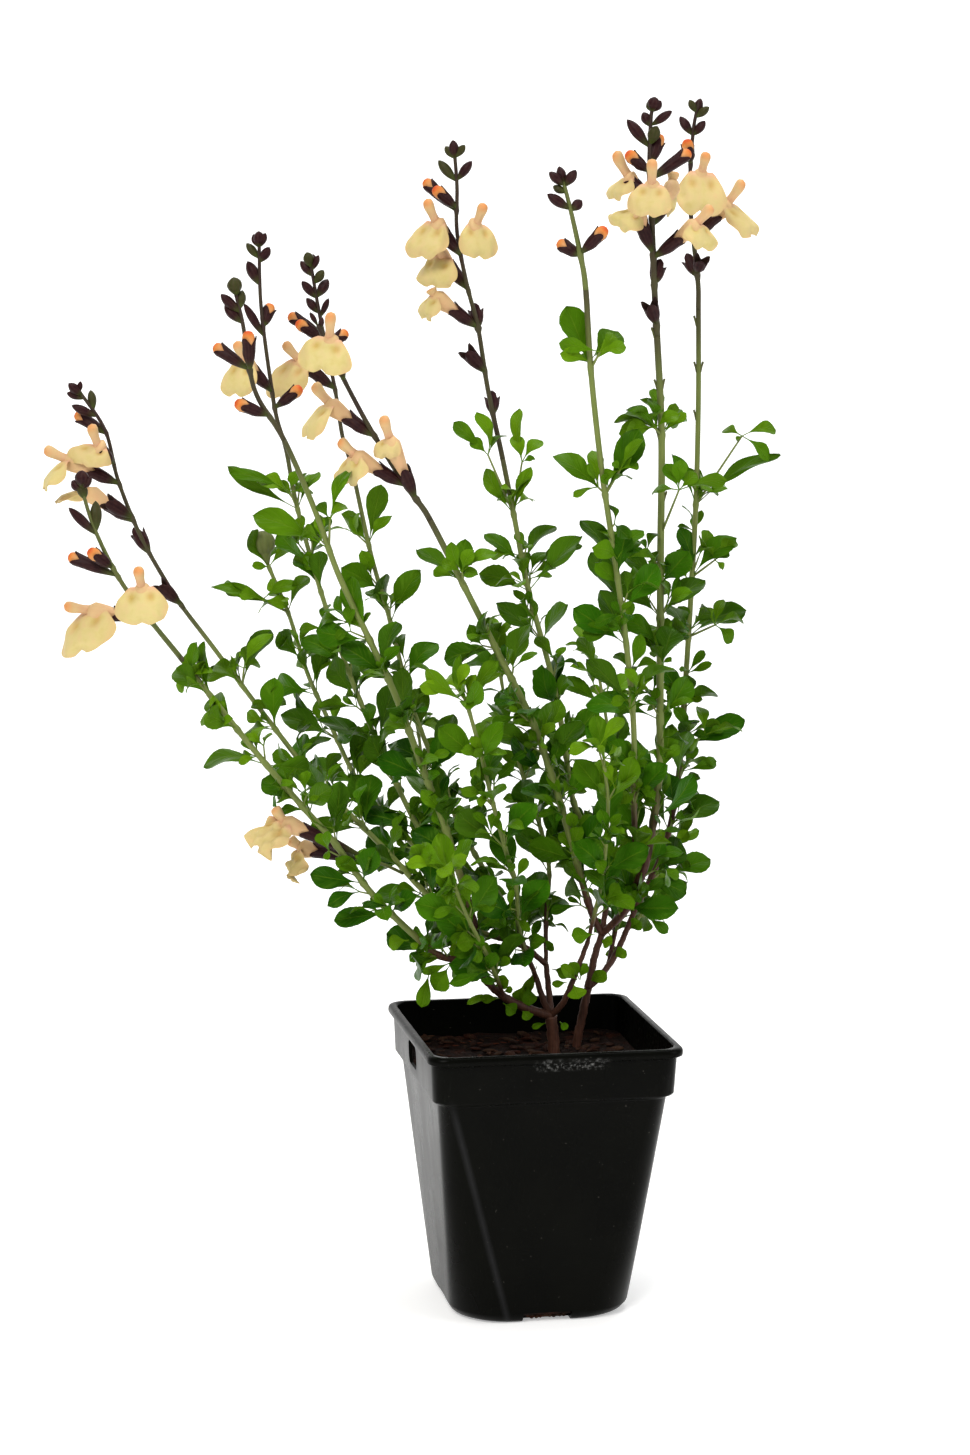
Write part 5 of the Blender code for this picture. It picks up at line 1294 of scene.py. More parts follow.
def make_leafy_stem(stem, most, stem_paint, leaf_paint):
    """The stalk and the leaves of one stem, as two pieces that both stand for its node."""
    stalk, blades = Skin(), Skin()
    mine = [leaf for leaf in grow_leaves() if leaf.stem == stem]
    top = SPIKE_FROM.get(stem, ROUTES[stem].long)
    add_stalk(stalk, stem, top, sorted({leaf.place for leaf in mine}))
    slender = [ROUTES[stem].on_row(row) for name, row in SLENDER if name == stem]
    rng = chance(4, list(STEMS).index(stem))
    for leaf in mine:
        slim = 0.80 - 0.2 * smooth(0.7, 0.95, leaf.place / top) * (stem != "bud_stem")
        if leaf.long > SLENDER_LONG and leaf.place in slender:
            slim = SLENDER_WIDE
        leaf = shown(leaf._replace(wide=leaf.wide * slim))
        young = smooth(0.4, 1.1, leaf.place / top) * 0.38 + 0.3 * rng.random() ** 3
        add_leaf(blades, leaf, 18, 9, (rng.random(), young, 0), 0.22 * rng.random() ** 2)
        line, found = axil_shoot(leaf, rng, most)
        stalk.add(tube_grid(line, TWIG, 6), (0, 0, 1), ring=True)
        for small in found:
            fresh = min(1, young + 0.10 + 0.38 * rng.random())
            add_leaf(blades, small, 11, 7, (rng.random(), fresh, 0), 0.30 * rng.random())
    for leaf in low_anchors(stem, top, rng):
        line, found = axil_shoot(leaf, rng, most)
        stalk.add(tube_grid(line, TWIG, 6), (0, 0, 1), ring=True)
        for small in found:
            slim = small._replace(wide=0.8 * small.wide)
            add_leaf(blades, slim, 11, 7, (rng.random(), 0.5 * rng.random(), 0), 0.35 * rng.random())
    for number, shoot in enumerate(SHOOTS):
        if shoot[0] == stem:
            line, found = shoot_leaves(shoot, number)
            stalk.add(tube_grid(line, READ_TWIG, 6), (0, 0, 1), ring=True)
            for small in found:
                fresh = 0.25 + 0.5 * rng.random()
                add_leaf(blades, small, 13, 7, (rng.random(), fresh, 0), 0.10 + 0.2 * rng.random())
    for name, row, aside in STUBS:
        if name == stem:
            add_stub(stalk, stem, row, aside)
    if stem == "seed_head":
        add_seed_head(stalk)
    hand_over(stalk.build("stalk_" + stem, stem_paint), "leafy_green", "stem_" + stem)
    hand_over(blades.build("leaves_" + stem, leaf_paint), "leafy_green", "stem_" + stem)


# Nodes whose longest leaves are slender: stem and pixel row. Then from which length on, and how wide they are.
SLENDER = [("right_back", 505), ("left_back", 509), ("seed_head", 612), ("centre_back", 514)]
SLENDER_LONG, SLENDER_WIDE = 0.027, 0.45
# Cut flower stalks: pixel row of the foot, and which side of the stem each is on.
STUBS = listed({
    "right_tall": [(338, 1), (390, -1), (390, 1), (440, 1), (502, -1)],
    "right_back": [(326, 1), (372, -1), (372, 1), (420, 1)],
})


def add_stub(skin, stem, row, aside):
    """A cut flower stalk that leans away from its stem, blunt at its end."""
    route = ROUTES[stem]
    place = route.on_row(row)
    side = aside * unit(np.cross(route.heading(place), INWARD))
    foot = route.at(place) + side * thickness(stem, place) * 0.6
    lean = 0.95 * route.heading(place) + 0.28 * side
    line = np.array([foot + step * lean for step in (0, 0.003, 0.0058, 0.006)])
    skin.add(tube_grid(line, (0.0008, 0.0006, 0.0006, 0.0001), 7), (0.15, 0.6, 0), ring=True)


def add_seed_head(skin):
    """A round head of dry calyces, a ball with nine ribs as a cosine of the angle, on a funnel of a neck."""
    route = ROUTES["seed_head"]
    top, middle = route.at(route.long), spot(*SEED_HEAD[:2], SEED_HEAD[2] / 1000)
    axis = unit(middle - top)
    half = SEED_HEAD_WIDE / 2
    turn = np.linspace(0, math.pi, 16)
    reach = half * np.sin(turn)[:, None] * (1 + 0.10 * np.cos(9 * circle(36)))
    ball = turned(middle, axis, INWARD, -half * 1.08 * np.cos(turn), reach, reach, 36)
    skin.add(ball, (0.25, 0.35, 0), ring=True)
    neck = np.linspace(0, norm(middle - top) - half * 0.4, 6)
    wide = np.linspace(0.0008, half * 0.75, 6)
    skin.add(turned(top, axis, INWARD, neck, wide, wide, 12), (0, 0.35, 0), ring=True)


def make_crown(crown, paint):
    """The woody foot of the plant on one side, with the first stretch of each stem that it carries."""
    skin = Skin()
    for name, plan in BRANCHES.items():
        if plan.crown != crown:
            continue
        add_woody(skin, name, ROUTES[name].long)
        for stem, other in STEMS.items():
            if other.joins == name:
                add_woody(skin, stem, COLLAR + 0.001)
    hand_over(skin.build(crown + "_bark", paint), "woody_bark", crown)


def add_woody(skin, name, end):
    """Bark from the foot of a branch or stem: a tube whose radius waves along it and round it, by two sines."""
    places, points, radii = stem_line(name, 0, end, 0.0012)
    sides = 14
    waves = 0.07 * np.sin(places * 900)[:, None] * np.cos(3 * circle(sides))
    knots = 1 + waves + 0.04 * np.sin(places * 2100 + 1)[:, None]
    grid = points[:, None] + (tube_grid(points, radii, sides) - points[:, None]) * knots[..., None]
    skin.add(grid, (1, 0, 0), ring=True)


# Small leaves at the foot of the plant, read off the view: base, tip, width in pixels, millimetres nearer than
# the closest stem, and 1 for a dead one.
FOOT_LEAVES = [
    ((450, 965), (434, 991), 14, 6, 0), ((430, 970), (421, 1009), 9, 4, 0), ((452, 962), (420, 973), 5, 2, 0),
    ((448, 956), (411, 957), 7, 5, 0), ((409, 940), (388, 945), 12, 0, 0), ((421, 941), (411, 949), 4, 0, 0),
    ((486, 975), (494, 954), 5, 3, 1), ((503, 944), (502, 968), 10, 3, 0), ((493, 987), (509, 980), 9, 3, 0),
    ((491, 984), (504, 978), 5, 1, 0), ((503, 992), (513, 989), 4, 1, 0), ((497, 997), (466, 1003), 6, 4, 0),
    ((500, 998), (480, 997), 6, 6, 0), ((503, 1003), (516, 1013), 9, 4, 0), ((521, 1008), (530, 1020), 9, 2, 0),
    ((525, 983), (518, 1003), 10, 5, 0), ((527, 984), (530, 1006), 9, 8, 0), ((537, 966), (523, 996), 6, 3, 0),
    ((552, 969), (572, 974), 10, 6, 0), ((573, 983), (579, 999), 12, 6, 0), ((577, 980), (561, 966), 7, 8, 0),
    ((579, 979), (571, 962), 7, 5, 0), ((580, 980), (587, 963), 7, 2, 0), ((586, 982), (607, 973), 9, 4, 0),
    ((567, 982), (552, 985), 4, 4, 0), ((595, 934), (571, 936), 10, 3, 0), ((612, 942), (616, 957), 12, 2, 0),
    ((560, 1022), (567, 1029), 4, 6, 0), ((546, 1023), (532, 1027), 3, 6, 0), ((471, 950), (449, 948), 11, 4, 0),
    ((478, 942), (456, 943), 12, 8, 0), ((474, 955), (478, 968), 7, 4, 0), ((628, 930), (641, 921), 9, 2, 0),
    ((613, 958), (626, 950), 8, 3, 0), ((600, 940), (612, 944), 8, 5, 0), ((545, 950), (553, 944), 7, 4, 0),
]


def nearest_stem(across_, down):
    """The stem or branch seen closest to a pixel, how far up it that is, and its depth there."""
    found = []
    for name, route in ROUTES.items():
        offset = route.points - EYE
        columns = VIEW_MIDDLE[0] + VIEW_FOCAL * (offset @ RIGHT) / (offset @ FORWARD)
        gaps = np.hypot(columns - across_, route.rows - down)
        k = int(np.argmin(gaps))
        found.append((gaps[k], name, route.reach[k], route.points[k] @ INWARD))
    return min(found)[1:]


def make_foot_leaves(paint):
    """The small leaves on the woody parts low on the plant."""
    blades = Skin()
    rng = chance(9)
    for base, tip, wide, near, dry in FOOT_LEAVES:
        name, place, depth = nearest_stem(*base)
        root = spot(*base, depth)
        reach = spot(*tip, depth - near / 1000) - root
        leaf = shaped_leaf(name, place, unit(reach), norm(reach), rng.random(8))
        light = unit(0.9 * (rng.random(3) - 0.5) + (0, 0, 0.25) - INWARD)
        face = unit(light - (light @ leaf.along) * leaf.along)
        tint = (rng.random(), 0.35 + 0.5 * rng.random(), dry)
        add_leaf(blades, leaf._replace(root=root, face=face, wide=1.35 * wide * PIXEL), 13, 7, tint, 0.08)
    hand_over(blades.build("foot_leaves", paint), "leafy_green")


CALYX_POINT = 0.0042  # length of a calyx's points
CALYX_BACK = 0.0028  # how far the notches between them lie behind its end
CALYX_WALL = 0.0002
CALYX_STALK = (0.0005, 0.0005, 0.0008)  # radii


def add_calyx(skin, root, ahead, up, long, wide, stalk=0.0030):
    """A ribbed cup on a thin stalk, with one broad point above and two below.

    The radius opens in an S curve from foot to mouth, times twelve ribs as a cosine of the angle. The points are
    a power of the cosine of one and a half times the angle, which also spreads the mouth there. The same rings,
    a wall's thickness smaller, run back down its inside.
    """
    sides = 24
    angle = circle(sides)
    share = np.concatenate([[0, 0, 0], np.linspace(0, 1, 13)])[:, None]
    along = np.concatenate([[0, 0.5 * stalk, 0.9 * stalk], stalk + (long - stalk) * share[3:, 0]])
    reach = wide / 2 * (0.22 + 0.78 * smooth(-0.05, 0.8, share) ** 0.8)
    reach[:3, 0] = CALYX_STALK
    point = np.abs(np.cos(1.5 * angle)) ** 1.3
    flare = 1 + 0.22 * point * smooth(0.75, 1.0, share) - 0.10 * (1 - point) * smooth(0.6, 1.0, share)
    broad = reach * flare * (1 + 0.045 * np.cos(12 * angle) * smooth(0.05, 0.3, share))
    high = broad * 0.92
    depth = along[:, None] + CALYX_POINT * point * smooth(0.35, 1.0, share) - CALYX_BACK
    outer = turned(root, ahead, up, depth, high, broad, sides)
    outer[:3] += CALYX_BACK * unit(ahead)
    back = slice(None, 7, -1)
    inner = turned(root, ahead, up, depth[back], (high - CALYX_WALL)[back], (broad - CALYX_WALL)[back], sides)
    green = 1 - smooth(0.05, 0.5, share)
    tint = triples(green, 0.5 + 0.5 * np.cos(12 * angle), 0)
    tint = np.concatenate([tint, np.broadcast_to((0, 0, 1), inner.shape)])
    skin.add(np.concatenate([outer, inner]), tint, ring=True)


def add_bud(skin, foot, tip, wide, fresh, rng):
    """A closed bud, green at its foot: an egg with a drawn-out tip.

    Its radius is a power of a sine of the way along it, times nine ribs as a cosine of the angle.
    """
    ahead, long = unit(tip - foot), norm(tip - foot)
    share = np.linspace(0, 1, 15)[:, None]
    rib = np.cos(9 * circle(18))
    swell = np.sin(math.pi * share**1.25) ** 0.7
    reach = np.maximum(BUD_STALK, wide / 2 * swell) * (1 + 0.05 * rib)
    reach[-1] = 0
    grid = turned(foot, ahead, unit(rng.random(3) - 0.5), long * share[:, 0], reach * 0.88, reach, 18)
    green = 0.9 * (1 - smooth(0.0, 0.45, share)) + fresh
    skin.add(grid, triples(green, 0.5 + 0.5 * rib, 0), ring=True)


BUD_STALK = 0.00045


def add_opening_tip(skin, foot, ahead, long, wide):
    """The rolled corolla that shows in the mouth of a calyx: an orange dome with a redder crown.

    Its radius widens a little up to the middle and then rounds off like an ellipse of a higher power. Along one
    side it is drawn in by a bell curve of the angle, which makes a fold.
    """
    share = np.linspace(0, 1, 13)[:, None]
    dome = np.sqrt(1 - (2 * np.clip(share, 0.5, 1) - 1) ** 2.4)
    reach = wide / 2 * dome * (0.75 + 0.25 * smooth(0, 0.5, share))
    angle = circle(18)
    radii = reach * (1 - 0.10 * np.exp(-((np.minimum(angle, 2 * math.pi - angle) / 0.35) ** 2)))
    grid = turned(foot, ahead, INWARD, long * share, radii * 0.86, radii, 18)
    tint = triples(0.5, 0.45 + 0.4 * smooth(0.3, 0.8, share), 0 * angle)
    skin.add(grid, tint, triples(share, 0 * angle, 0.85 * smooth(0.72, 1.0, share)), ring=True)


def make_spike(stem, calyx_wide, stem_paint, calyx_paint, petal_paint):
    """A dark stalk, its cups and buds, and the orange tips of those about to open."""
    stalk, cups, tips = Skin(), Skin(), Skin()
    route = ROUTES[stem]
    rng = chance(6, list(STEMS).index(stem))
    start = COLLAR if stem == "low_left" else SPIKE_FROM[stem]
    rows = [row for name, row, *_ in [*FLOWERS, *OPENING, *SPENT] if name == stem]
    places, points, radii = stem_line(stem, start, route.long)
    for row in rows:
        radii = swollen(radii, places, route.on_row(row), 0.35, 0.0012)
    dark = PALE_RACHIS.get(stem, 0.85) + 0.15 * smooth(start, route.long, places)
    radii[-1] = 0
    stalk.add(tube_grid(points, radii, 10, STALK_SQUARE), triples(0, dark, dark)[:, None], ring=True)
    for flower in place_flowers():
        if flower.stem == stem:
            reach, bare = flower.calyx - flower.root, 0.003
            if stem == "low_left":
                reach, bare = CALYX_SHARE * (flower.mouth - flower.root), 0.011
            long = 1.08 * norm(reach) + 0.001
            add_calyx(cups, flower.root, reach, flower.up, long, calyx_wide, bare)
    for root, reach, long in stalked(OPENING, stem, OPENING_NEAR):
        ahead = unit(reach)
        add_calyx(cups, root, ahead, route.heading(route.long), long - 0.0040, 0.9 * calyx_wide)
        add_opening_tip(tips, root + reach - ahead * 0.0085, ahead, 0.0088, 0.0064)
    for root, reach, long in stalked(SPENT, stem, SPENT_NEAR):
        add_calyx(cups, root, reach, -INWARD, long - 0.002, calyx_wide, 0.002)
    for foot, tip, wide in closed_buds(stem):
        add_bud(cups, foot, tip, wide * 1.1, 0.5 * (rng.random() < 0.3), rng)
    node = "spike_" + stem
    hand_over(stalk.build(node + "_stalk", stem_paint), "dark_spike", node)
    hand_over(cups.build(node + "_cups", calyx_paint), "dark_spike", node)
    if tips.points:
        hand_over(tips.build(node + "_tips", petal_paint), "cream_petal", node)


def stalked(table, stem, near):
    """Foot of each row of a table on its stem, the way to its tip and how long that is. Every other tip is nearer
    to the view, and the others are further from it.
    """
    found = []
    for k, (name, row, tip) in enumerate(table):
        if name == stem:
            root, flat = stalk_to(stem, row, tip)
            reach = flat - (near if k % 2 else -near) * INWARD - root
            found.append((root, reach, norm(reach)))
    return found


OPENING_NEAR, SPENT_NEAR = 0.006, 0.007
# How dark the stalk of a spike is where it isn't as dark as the others
PALE_RACHIS = {"left": 0.35, "bud_stem": 0.25, "low_left": 0.3}


LIP_ROWS, LIP_COLUMNS = 25, 31
LIP_THICK = 0.0003  # half the thickness in its middle
LIP_DROOP = 9.0  # how fast its sides fall away, in metres over metres squared
DIMPLE_DEEP = 0.0013


def lip_grid(flower, rng):
    """The lower lip: broad, with raised shoulders, a notched end, two dimples and a ruffled edge.

    Its outline is a power of an ellipse, narrower at its root, drawn back at its end by a bell curve. Its height
    is an arch along it, less the square of the distance from its middle line, less two bell curves for the
    dimples, plus sine waves of the angle round it that are highest at its edge. The thickness is half an ellipse.
    """
    side = np.cross(flower.out, flower.up)
    root = flower.mouth - flower.out * 0.001
    hang, long = unit(flower.lip - root), norm(flower.lip - root)
    lift = unit(flower.out - (flower.out @ hang) * hang)
    spread = np.sin(np.linspace(-math.pi / 2, math.pi / 2, LIP_COLUMNS))
    b, a = np.meshgrid(np.sin(np.linspace(0, math.pi / 2, LIP_ROWS)), spread, indexing="ij")
    oval = 0.09 + 0.91 * b
    width = (1 - np.abs(2 * oval - 1) ** 2.5) ** 0.45 * (0.64 + 0.36 * smooth(0, 0.6, b))
    wander = 0.045 * np.sin(7 * b + 5 * a + 40 * rng.random()) * smooth(0.3, 0.7, b)
    x = a * width * (1 + 0.08 * (rng.random() - 0.5) * np.sign(a) + wander)
    notch = (0.07 + 0.10 * rng.random()) * np.exp(-((x / 0.17) ** 2)) * b**3
    y = long * 1.03 * (b * (1 - notch) - 0.07 * x**2 * (1 - b) ** 2)
    dimple = np.exp(-(((np.abs(x) - 0.36) / 0.16) ** 2) - ((b - 0.30) / 0.13) ** 2)
    waves = 4.5 if flower.stem == "low_left" else 1.5
    turn = 6 * rng.random()
    rim = smooth(0.45, 1.0, np.hypot(x, 1.15 * (b - 0.45)))
    ruffle = np.sin(5.5 * np.arctan2(x, 0.6 - b) + turn) + 0.6 * np.sin(11 * x + 6 * b + 2 * turn)
    metres = flower.wide / 2 * x
    z = 0.0022 * np.sin(math.pi * b**0.7) * (1 - x**2) - LIP_DROOP * metres**2 - DIMPLE_DEEP * dimple
    z = z + 0.0006 * (waves - 1.5) * np.sin(13 * x + turn) * np.sin(9 * b + turn)
    z = z + 0.0008 * waves * rim * ruffle - 0.0022 * smooth(0.75, 1, b) - 0.0012 * rim**2
    grid = root + metres[..., None] * side + y[..., None] * hang + z[..., None] * lift
    edge = smooth(0.86, 1.0, np.maximum(np.abs(a), b))
    peach = 0.85 * (1 - smooth(0.0, 0.24, b)) + 0.16 * rng.random() + 0.08 * rim + 0.12 * edge
    tint = triples(peach, 0.06 * rim + 0.02 * edge, 0.75 * dimple)
    thick = LIP_THICK * ((1 - a**2) * (1 - b**8)) ** 0.5
    return grid, tint, thick[..., None] * lift


def facing(flower):
    """The same flower, turned a little to the view and fuller, for one that its solid shows from the side."""
    if flower.name not in FULLER:
        return flower
    turn, wider, nearer = FULLER[flower.name]
    out = unit(flower.out - turn * INWARD)
    out = unit(out - (out @ flower.up) * flower.up)
    mouth, hood, lip = (place - nearer / 1000 * INWARD for place in (flower.mouth, flower.hood, flower.lip))
    return flower._replace(out=out, wide=wider * flower.wide, mouth=mouth, hood=hood, lip=lip)


# How much further some flowers turn to the view, how much wider their lips are and how many millimetres nearer.
FULLER = {
    "flower_centre_back_3": (0.9, 1.2, 13), "flower_left_2": (0.7, 1.3, 0), "flower_far_left_2": (0.3, 1.1, 0),
    "flower_main_3": (0.5, 1.0, 0), "flower_thin_back_1": (0.3, 1.1, 0), "flower_left_back_1": (0.3, 1.1, 0),
}


def make_flower(flower, paint):
    """One corolla: a tube that widens in an S curve and closes in its throat, a hood and the lower lip."""
    flower = facing(flower)
    skin = Skin()
    rng = chance(7, sum(map(ord, flower.name)))
    ahead = unit(flower.mouth - flower.root)
    start = flower.calyx - flower.root - ahead * 0.005
    if flower.stem == "low_left":
        start = 0.6 * (flower.mouth - flower.root)
    foot = flower.root + start
    long = norm(flower.mouth - foot) + 0.0012
    share = np.linspace(0, 1, 12)
    reach = 0.0023 + 0.0027 * smooth(0, 0.9, share)
    reach[-2:] = 0.0030, 0
    along = long * share
    along[-2:] = long - 0.0006, long - 0.0008
    tube = turned(foot, ahead, flower.up, along, reach, reach * 0.85, 18)
    skin.add(tube, triples(0.75 - 0.2 * share, 0.05, 0)[:, None], ring=True)
    add_hood(skin, flower, rng)
    grid, tint, thick = lip_grid(flower, rng)
    skin.add(grid + thick, tint)
    skin.add(grid - thick, tint, flip=True)
    hand_over(skin.build(flower.name + "_corolla", paint), "cream_petal", flower.name)


def add_hood(skin, flower, rng):
    """The upper lip, with an orange tip: rings round a line that bends forward in a sine wave, whose widths from
    slim foot to rounded end are read off HOOD_WIDTHS.
    """
    reach = flower.hood - flower.mouth
    rise = np.linspace(-0.15, 1, 18)
    centre = flower.mouth - flower.out * 0.0012 + rise[:, None] * reach
    centre = centre + flower.out * (0.0020 * np.sin(2.4 * np.clip(rise, 0, 1)) - 0.0008)[:, None]
    wide = np.interp(rise, HOOD_PLACES, HOOD_WIDTHS) / 1000
    wide[-1] = 0
    up = unit(reach)
    out = unit(flower.out - (flower.out @ up) * up)
    side = np.cross(out, up)
    angle, wide = circle(18), wide[:, None]
    ring = (wide * np.cos(angle))[..., None] * out + (wide * 0.92 * np.sin(angle))[..., None] * side
    front = 0.25 + 0.75 * smooth(-0.3, 0.9, np.cos(angle))
    orange = 0.02 + 0.62 * smooth(0.5, 0.92, rise)[:, None] * front * (0.6 + 0.4 * rng.random())
    peach = 0.85 - 0.35 * smooth(0, 0.6, rise)[:, None]
    skin.add(centre[:, None] + ring, triples(peach, orange, 0), ring=True, flip=True)


# Radii of the hood in mm, and how far up it each is
HOOD_PLACES = (-0.15, 0, 0.15, 0.3, 0.45, 0.6, 0.72, 0.82, 0.89, 0.94, 0.975, 1)
HOOD_WIDTHS = (3.2, 2.9, 2.5, 2.4, 2.6, 2.95, 3.1, 2.95, 2.6, 2.1, 1.4, 0)


CHIP_SHORT = 0.0022  # length of the shortest bark chip
STRIP = (9, -0.034, 0.036, 0.0044)  # pieces of the reddish strip, place of the first one and step to the next


def make_soil_skin(paint, chips, chip_long):
    """Uneven bark compost in the pot, with loose chips of bark on top and one long reddish strip.

    Its top is level plus the waves of soil_relief and of crumbs.
    """
    skin = Skin()
    edge = COLLAR_HALF - 0.001 - POT_WALL - GAP
    profile = [(h, half - GAP) for h, half in inner_profile()[::-1]]
    rings = [fine_ring(h, half, body_corner(h)) for h, half in profile]
    for share in np.concatenate([[1.0], np.linspace(0.985, 0.02, 44)]):
        ring = fine_ring(SOIL_TOP, edge * share, RIM_CORNER * share)
        x, y = ring[:, 0], ring[:, 1]
        ring[:, 2] += soil_relief(x, y) + crumbs(x, y) - 0.0012 * (share == 1.0)
        rings.append(ring)
    skin.add(np.array(rings), (0, 0, 0), ring=True)
    rng = chance(8)
    for _ in range(chips):
        x, y = (rng.random(2) * 2 - 1) * (edge - 0.006)
        long = CHIP_SHORT + (chip_long - CHIP_SHORT) * rng.random() ** 2
        wide = long * (0.3 + 0.4 * rng.random())
        add_chip(skin, x, y, long, wide, rng, (0.7 * rng.random() ** 2, 0.3 * rng.random(), 0))
    pieces, left, back, step = STRIP
    for k in range(pieces):
        x, y = left + step * k, back + 0.0012 * math.sin(k)
        add_chip(skin, x, y, 0.0042, 0.0014, rng, (0.12, 0.95, 0), 0.05 * math.sin(2 * k))
    hand_over(skin.build("soil_surface", paint), "bark_compost", "soil")


def make_drain_crumbs(paint):
    """Compost that shows in the opening in the front bottom edge: spindles whose radius is a sine of the way."""
    skin = Skin()
    rng = chance(10)
    for _ in range(DRAIN_CRUMBS):
        x, y, z = (rng.random(3) - (0.5, 0, 0)) * (0.022, 0.004, 0.0026)
        long = 0.0025 + 0.0025 * rng.random()
        ahead = unit(rng.random(3) - 0.5)
        ahead[2] *= 0.3
        foot = np.array([x, y - 0.0440, z + 0.0022]) - ahead * long / 2
        share = np.linspace(0, 1, 6)
        broad = 0.0012 * np.sin(math.pi * share)[:, None] * (1 + 0.4 * (rng.random((6, 8)) - 0.5))
        red = 0.6 * float(x < 0) * rng.random()
        grain = turned(foot, ahead, rng.random(3), long * share, broad, broad, 8)
        skin.add(grain, (0.9 * rng.random(), red, 0), ring=True)
    hand_over(skin.build("drain_crumbs", paint), "bark_compost")


DRAIN_CRUMBS = 90


def crumbs(x, y):
    """Fine roughness of the soil, in metres: products of two crossed sine waves, one pair bent by slower ones."""
    waves = np.sin(x * 930 + 2 * np.sin(y * 410)) * np.sin(y * 870 + 2 * np.sin(x * 530))
    return 0.0007 * waves + 0.0005 * np.sin(x * 1900 + y * 700) * np.sin(y * 2100 - x * 400)


def add_chip(skin, x, y, long, wide, rng, tint, heading=None):
    """A flat irregular chip of bark that lies on the soil, tilted."""
    heading = rng.random() * 2 * math.pi if heading is None else heading
    ahead = unit(np.array([math.cos(heading), math.sin(heading), 0.5 * (rng.random() - 0.5)]))
    up = unit(np.array([0.5 * (rng.random() - 0.5), 0.5 * (rng.random() - 0.5), 1.0]))
    foot = np.array([x, y, SOIL_TOP + soil_relief(x, y) + 0.0006 + 0.0008 * rng.random()]) - ahead * long / 2
    along = long * np.linspace(0, 1, len(CHIP_WIDTHS))
    broad = wide / 2 * np.array(CHIP_WIDTHS)[:, None] * (1 + 0.3 * (rng.random((len(CHIP_WIDTHS), 8)) - 0.5))
    skin.add(turned(foot, ahead, up, along, broad * 0.35, broad, 8), tint, ring=True)


CHIP_WIDTHS = (0.1, 0.9, 1.0, 0.8, 0.1)  # along a chip, as shares of its width


CORNER_STEPS, SIDE_STEPS = 10, 9


def heading_of(angle):
    """Unit vector on the ground at an angle, or one for each angle."""
    return np.stack([np.cos(angle), np.sin(angle)], -1)


def fine_ring(height, half, corner):
    """Points round a square with rounded corners: a quarter of a circle round each corner's centre, then points
    evenly along a straight side, counted alike at any radius.
    """
    corner = min(corner, half)
    away = (half - corner) * math.sqrt(2)
    ring = []
    for quarter in range(4):
        start = quarter * math.pi / 2
        angles = start + np.linspace(0, math.pi / 2, CORNER_STEPS + 1)
        arc = away * heading_of(start + math.pi / 4) + corner * heading_of(angles)
        onward = away * heading_of(start + 0.75 * math.pi) + corner * heading_of(angles[-1])
        line = arc[-1] + (onward - arc[-1]) * np.linspace(0, 1, SIDE_STEPS + 1)[1:-1, None]
        ring += [*arc, *line]
    flat = np.array(ring)
    return np.column_stack([flat, np.full(len(flat), height)])


def fine_profile():
    """The pot's profile with its edges blunted: each corner point gives way to two beside it."""
    coarse = np.array(pot_profile())
    rings = [coarse[0]]
    for before, here, after in zip(coarse, coarse[1:], coarse[2:]):
        for other in (before, after):
            reach = norm(other - here)
            rings.append(here + (other - here) / reach * min(reach * 0.3, EDGE_BLUNT))
    rings.append(coarse[-1])
    return rings


EDGE_BLUNT = 0.0006


def make_pot_skin(paint):
    """The moulded pot with its slot, its shallow recess and the openings along its bottom edge."""
    skin = Skin()
    rings = np.array([fine_ring(h, half, body_corner(h)) for h, half in fine_profile()])
    ends = (rings[k].mean(axis=0) + 0 * rings[:1] for k in (0, -1))
    closed = np.vstack([next(ends), rings, next(ends)])
    outside = len(rings) - 2 * len(inner_profile())
    inside = np.arange(len(closed)) > outside
    skin.add(closed, triples(0, inside, 0)[:, None], ring=True)
    pot = skin.build("pot_shell", paint)
    mesh_from_cuts(pot, pot_cutters())
    hand_over(pot, "pot_plastic", "pot")


def pot_cutters():
    """Boxes that are cut from the pot: middle, size and the radius of the corners seen along its thin way."""
    wide, deep, tall = DRAIN_SIZE
    slot = (-COLLAR_HALF, 0, COLLAR_MIDDLE), (0.012, *SLOT_SIZE), 0.0035
    middle = RECESS_ASIDE, -COLLAR_HALF - 0.004 + RECESS_DEEP, COLLAR_MIDDLE
    boxes = [slot, (middle, (RECESS_SIZE[0], 0.008, RECESS_SIZE[1]), 0.004)]
    for k in range(4):
        turn = k * math.pi / 2
        out = FOOT_WIDE / 2 - deep / 2 + 0.003
        size = (deep, wide, 2 * tall) if k % 2 == 0 else (wide, deep, 2 * tall)
        boxes.append(((*(out * heading_of(turn)), 0), size, 0))
        corner = 1.25 * FOOT_WIDE / 2 - 0.9 * FOOT_CORNER
        boxes.append(((*(corner * heading_of(turn + math.pi / 4)), 0), (0.010, 0.010, 2 * tall), 0))
    return boxes


